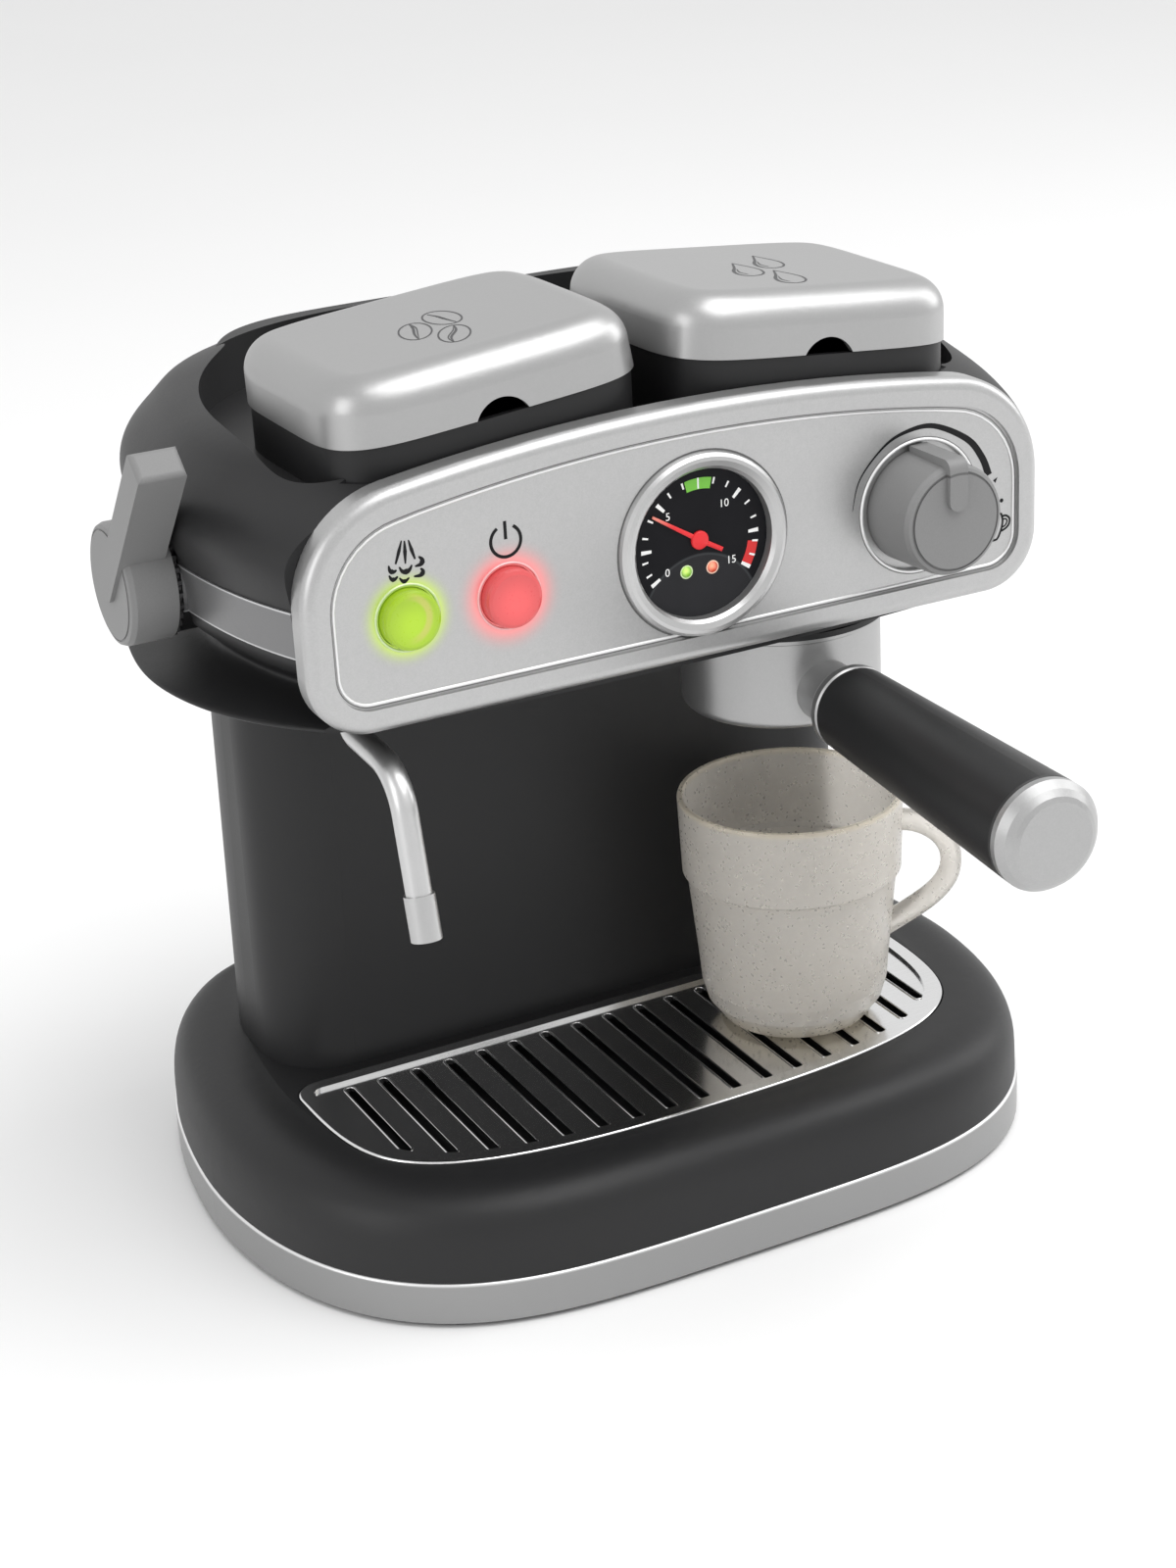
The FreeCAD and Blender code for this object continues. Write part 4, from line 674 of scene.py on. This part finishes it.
# Needle and signal lamps of the gauge. The needle is thin red plastic with a round hub and a paler
# tip, and the lamps are small domed lenses in pale rings. Each lens has a painted highlight a little up
# and left of its middle, where it also has a faint painted glow.
hub = (3.2, 208.6)
hub_radius = 2.6
needle_tip = Vector((-10.8, 217.5))
needle_tail = Vector((10.1, 204.7))
needle_foot = 0.12
needle_top = 0.55
hub_top = 0.95
lamp_radius = 1.56
lamp_ring_radius = 1.72
needle_red = Finish("needle_red", (0.72, 0.02, 0.025), 0.4)
along_tip = needle_red.ring(*hub).rise(9.0, 16.5)
needle_red.set("Base Color", needle_red.mix(along_tip, (0.74, 0.018, 0.024), (0.85, 0.26, 0.20)))
needle_red.set("Roughness", needle_red.cloud(0.6) * 0.1 + 0.35)


def solid_print(name, outline, sheet, low, high, bevel, finish):
    """A raised flat piece with a rounded upper edge, from the outline of its foot."""
    middle = sum((Vector(place) for place in outline), Vector((0, 0))) / len(outline)
    corners = []
    faces = []
    count = len(outline)
    for inset, lift in ((0.0, low), (0.0, high - bevel), (bevel * 0.4, high - bevel * 0.3), (bevel, high)):
        for place in outline:
            outward = Vector(place) - middle
            shrunk = middle + outward * (1 - inset / max(outward.length, inset * 2, 0.001))
            corners.append(sheet.at(shrunk, lift))
    for level in range(3):
        for index in range(count):
            after = (index + 1) % count
            faces.append([level * count + index, level * count + after,
                          (level + 1) * count + after, (level + 1) * count + index])
    faces.append([3 * count + index for index in range(count)])
    return mesh_piece(name, corners, faces, finish, sheet.body, True)


run = (needle_tip - needle_tail).normalized()
side = Vector((-run.y, run.x))
needle_outline = [tuple(place + side * half) for place, half in (
    (needle_tail, 0.62), (Vector(hub), 0.72), (needle_tip, 0.36),
    (needle_tip, -0.36), (Vector(hub), -0.72), (needle_tail, -0.62))]
solid_print("gauge_needle", needle_outline, dial, needle_foot, needle_top, 0.12, needle_red)
solid_print("needle_hub", circle(hub, hub_radius, 32), dial, needle_foot, hub_top, 0.35, needle_red)
for name, place, rim_colour, painted_light_colour, deep in (
        ("green_lamp", (-1.0, 200.3), (0.62, 0.78, 0.42), (0.55, 0.80, 0.16), (0.20, 0.46, 0.03)),
        ("red_lamp", (7.0, 200.2), (0.88, 0.60, 0.46), (0.95, 0.34, 0.20), (0.62, 0.07, 0.03))):
    lens = Finish(name + "_lens", deep, 0.2, Coat_Weight=0.5)
    # Painted highlight: the lens is paler and glows a little about a point up and left of its middle.
    lens_highlight = lens.ring(place[0] - 0.4, place[1] + 0.5).rise(1.7, 0.1)
    lens.set("Base Color", lens.mix(lens_highlight, deep, painted_light_colour))
    lens.glow(lens.mix(lens_highlight, unlit, toned(painted_light_colour, 0.3)))
    rim = plastic(name + "_rim", rim_colour, 0.4, ink_texture, ink_relief)
    rim_line = circle(place, lamp_ring_radius, 36)
    dial.print(name + "_ring", stroke(rim_line, (0.36, 0.36), True), rim, "dial_black")
    solid_print(name, circle(place, lamp_radius, 28), dial, 0.02, 0.45, 0.42, lens)

# Push buttons. Two caps of see-through plastic, lime and red, lit from behind by a lamp on the board.
# Each stands in a close round hole. The lamp's light is painted: each cap is paler and glows a little
# towards its middle, the lime cap has a painted shade crescent where its inner wall shows, and the
# bead round each hole is painted in the cap's colour as the light the cap throws on it.
lime = (0.42, 0.66, 0.02)
coral = (0.86, 0.11, 0.115)
hole_edge_radius = 8.9
for node, place, colour, painted_light_colour, wall_shade_strength in (
        ("steam_button", steam_button_place, lime, (0.50, 0.74, 0.03), 0.75),
        ("power_button", power_button_place, coral, (0.92, 0.15, 0.15), 0.0)):
    cap = Finish(node + "_plastic", colour, 0.28, Coat_Weight=0.35, Specular_IOR_Level=0.4)
    # Painted light of the lamp behind: the cap is paler and glows a little towards its middle.
    towards = cap.ring(place[0], place[1] - 1.0).rise(9.0, 1.0)
    painted_backlight = cap.mix(towards, toned(colour, 0.7), toned(colour, 0.88))
    # Painted shade: a duller olive crescent on the right of the lime cap, where its inner wall shows.
    from_well = cap.ring(place[0] - 1.6, place[1] + 0.9)
    cap_wall_shade = from_well.rise(4.6, 5.4) * from_well.rise(7.4, 6.2) * (cap.x - place[0]).rise(-3.0, 3.5)
    cap.set("Base Color", cap.mix(cap_wall_shade * wall_shade_strength, painted_backlight, (0.50, 0.46, 0.12)))
    cap.glow(cap.mix(towards, toned(colour, 0.04), toned(painted_light_colour, 0.10)))
    cap.set("Roughness", cap.cloud(0.7) * 0.1 + 0.24)
    cap.cover(node)
    # Painted light: the edge bead of the hole is coloured like the cap, as the light the cap throws on it.
    spill_colour = tuple(0.4 + channel * 0.5 for channel in colour)
    light_spill_finish = Finish(node + "_edge", spill_colour, 0.3, Metallic=0.4)
    light_spill_finish.set("Roughness", light_spill_finish.cloud(0.6) * 0.1 + 0.25)
    bead(node + "_hole_edge", [circle(place, hole_edge_radius, 48)], 0.42, front, light_spill_finish)

# Selector. A turned grey knob with a raised pointer stands in a shallow seat. Round it are printed
# a swelling arc, an arrowhead, a dot and a little cup.
selector = (72.2, 205.6)
selector_recess = 18.9
selector_front = -92.0
selector_groove = 13.7
knob_grey = plastic("knob_grey", (0.20, 0.20, 0.20), 0.50, 0.5, 0.012)
# Painted shade: a dark ring on the front face of the knob, in its groove.
from_axis = knob_grey.ring(*selector)
knob_groove_shade = from_axis.rise(selector_groove - 0.5, selector_groove - 0.2)
knob_groove_shade = knob_groove_shade * from_axis.rise(selector_groove + 0.5, selector_groove + 0.2)
knob_groove_shade = knob_groove_shade * knob_grey.y.rise(selector_front, selector_front - 0.4)
knob_colour = knob_grey.mix(knob_groove_shade * 0.7, knob_grey.present("Base Color"), (0.05, 0.05, 0.05))
knob_grey.set("Base Color", knob_colour)
knob_grey.cover("selector_knob", "steam_knob")
swelling_arc = [spoke(selector, radius, angle) for angle, radius in (
    (174, 21.9), (150, 22.1), (121, 22.0), (100, 22.2), (77, 22.5), (46, 22.8), (26, 23.3), (11, 23.7))]
arrowhead = [(97.0, 208.3), (98.45, 209.0), (97.75, 207.4)]
dot = circle((99.9, 201.9), 0.62, 12)
cup_sign = (
    ([(92.4, 198.3), (95.6, 198.1), (98.2, 198.0), (99.8, 198.1)], 0.62),
    ([(99.8, 198.1), (100.3, 196.0), (100.0, 194.0), (99.4, 192.4), (98.6, 191.0), (97.6, 190.6),
      (93.6, 190.6)], 0.62),
    ([(100.2, 197.2), (101.4, 197.2), (102.6, 196.2), (102.5, 194.6), (101.4, 193.5), (99.9, 192.9)], 0.62),
    ([(100.5, 196.3), (101.4, 196.2), (101.8, 195.4), (101.2, 194.4), (100.3, 194.0)], 0.45),
)
scale_patches = stroke(curved(swelling_arc), (0.15, 0.6, 1.3, 1.9, 2.3)) + [arrowhead, dot]
for line, width in cup_sign:
    scale_patches += stroke(curved(line), (width, width))
# The seat's rim bead is in the paler silver, a painted highlight, and the dark line printed round it is
# painted shade.
bead("selector_rim", [circle(selector, selector_recess, 60)], 0.5, front, highlight_silver)
seat_line = circle(selector, selector_recess + 0.6, 60)
front.print("selector_rim_line", stroke(seat_line, (0.3, 0.3), True), shade_line_ink, "silver_paint", shade_line_lift)
front.print("selector_scale", scale_patches, sign_ink, "dial_black")

# Steam knob. A knob with a long lever on the left side, of the selector's grey plastic, and behind
# it a toothed black wheel that clicks as it turns.
plastic("wheel_plastic", (0.03, 0.03, 0.031), 0.4, 0.5).cover("steam_click_wheel")

# Group head and filter holder. The bayonet ring under the head is black. The head and the bowl are
# silver-painted, and the handle is a black grip on a steel rod, with a silver ring and end cap.
black_plastic.cover("bayonet_ring")
silver("bowl_silver", (0.40, 0.40, 0.40), 0.35, 0.06).cover("group_head", "filter_bowl", "handle_ring")
silver("cap_silver", (0.40, 0.40, 0.40), 0.38, 0.08, 0.75).cover("handle_cap")
plastic("grip_plastic", (0.0125, 0.0125, 0.013), 0.42, 0.5, 0.012, Specular_IOR_Level=0.45).cover(
    "handle_grip")

# Steam wand. A bent silver tube with a slightly wider nozzle, turning in a black collar under the
# head. Both pieces are satin silver and meet in a fine line.
black_plastic.cover("wand_collar")
silver("wand_silver", (0.58, 0.58, 0.58), 0.33, 0.03, 0.9, 0.0015).cover("steam_wand")
silver("nozzle_silver", (0.50, 0.50, 0.50), 0.33, 0.03, 0.9, 0.0015).cover("wand_nozzle")

# Cup. A child's mug of slightly see-through champagne plastic with pearl flakes, frosted inside.
# Its base and rim are a little warmer than its wall.
cup_base_z = 39.0
cup_rim_z = 111.2
cup_roughness = 0.30
cup_pearl = Finish("cup_pearl", (0.86, 0.82, 0.76), cup_roughness, Transmission_Weight=0.6, IOR=1.36)
pearl = cup_pearl.flakes(0.7)
in_base = cup_pearl.z.rise(cup_base_z + 8.0, cup_base_z)
in_rim = cup_pearl.z.rise(cup_rim_z - 1.9, cup_rim_z)
warmth = in_base.most(in_rim)
wall = cup_pearl.mix(pearl * 0.5 + cup_pearl.cloud(3.0, 3.0) * 0.5, (0.77, 0.74, 0.69), (0.86, 0.83, 0.78))
cup_pearl.set("Base Color", cup_pearl.mix(warmth * 0.7, wall, (0.92, 0.84, 0.68)))
cup_pearl.set("Roughness", (pearl - 0.5) * 0.08 + cup_roughness)
cup_pearl.grain(cup_pearl.cloud(1.5, 2.0), 0.006, 0.5)
cup_pearl.cover("cup")

# Floor, lights and camera. A plain pale floor under soft studio light from a large softbox above,
# with the camera where the photograph was taken from.
floor_reach = 6.0
floor_drop = 0.0001
floor_paint = Finish("floor_paint", (0.86, 0.86, 0.86), 0.7)
floor_tone = floor_paint.mix(floor_paint.cloud(400.0), (0.855, 0.855, 0.855), (0.875, 0.875, 0.875))
floor_paint.set("Base Color", floor_tone)
floor_data = bpy.data.meshes.new("floor")
floor_corners = [(x * floor_reach, y * floor_reach, -floor_drop)
                 for x, y in ((-1, -1), (1, -1), (1, 1), (-1, 1))]
floor_data.from_pydata(floor_corners, [], [(0, 1, 2, 3)])
floor_data.materials.append(floor_paint.material)
floor = bpy.data.objects.new("floor", floor_data)
bpy.context.scene.collection.objects.link(floor)


def softbox(name, place, target, size, power):
    """An oblong area light that faces a point."""
    data = bpy.data.lights.new(name, "AREA")
    data.shape = "RECTANGLE"
    data.size = size[0]
    data.size_y = size[1]
    data.energy = power
    lamp = bpy.data.objects.new(name, data)
    bpy.context.scene.collection.objects.link(lamp)
    lamp.location = place
    lamp.rotation_euler = (Vector(target) - Vector(place)).to_track_quat("-Z", "Y").to_euler()
    return lamp


softbox("top_softbox", (0.45, -0.55, 1.5), (0.0, 0.0, 0.15), (1.5, 1.1), 15)
softbox("left_softbox", (-1.7, -0.4, 0.8), (0.0, 0.0, 0.15), (0.9, 1.2), 6)
softbox("right_softbox", (1.8, -0.2, 0.9), (0.0, 0.0, 0.12), (0.8, 1.2), 8)
world = bpy.data.worlds.new("studio")
bpy.context.scene.world = world
world.use_nodes = True
surround = world.node_tree.nodes["Background"].inputs
surround["Color"].default_value = (0.9, 0.9, 0.9, 1)
surround["Strength"].default_value = 0.98
bpy.context.scene.view_settings.view_transform = "Standard"

camera_place = (-0.3455, -0.7071, 0.4427)
look = math.radians(26.15)
dip = math.radians(22.74)
roll = math.radians(-3.22)
ahead = Vector((math.sin(look) * math.cos(dip), math.cos(look) * math.cos(dip), -math.sin(dip)))
level = Vector((math.cos(look), -math.sin(look), 0))
above = level.cross(ahead)
across = level * math.cos(roll) + above * math.sin(roll)
upright = above * math.cos(roll) - level * math.sin(roll)
lens_data = bpy.data.cameras.new("camera")
lens_data.lens = 64.93
lens_data.sensor_width = 36.0
lens_data.sensor_fit = "AUTO"
camera = bpy.data.objects.new("camera", lens_data)
bpy.context.scene.collection.objects.link(camera)
facing = Matrix((across, upright, -ahead)).transposed().to_4x4()
camera.matrix_world = Matrix.Translation(camera_place) @ facing
bpy.context.scene.camera = camera
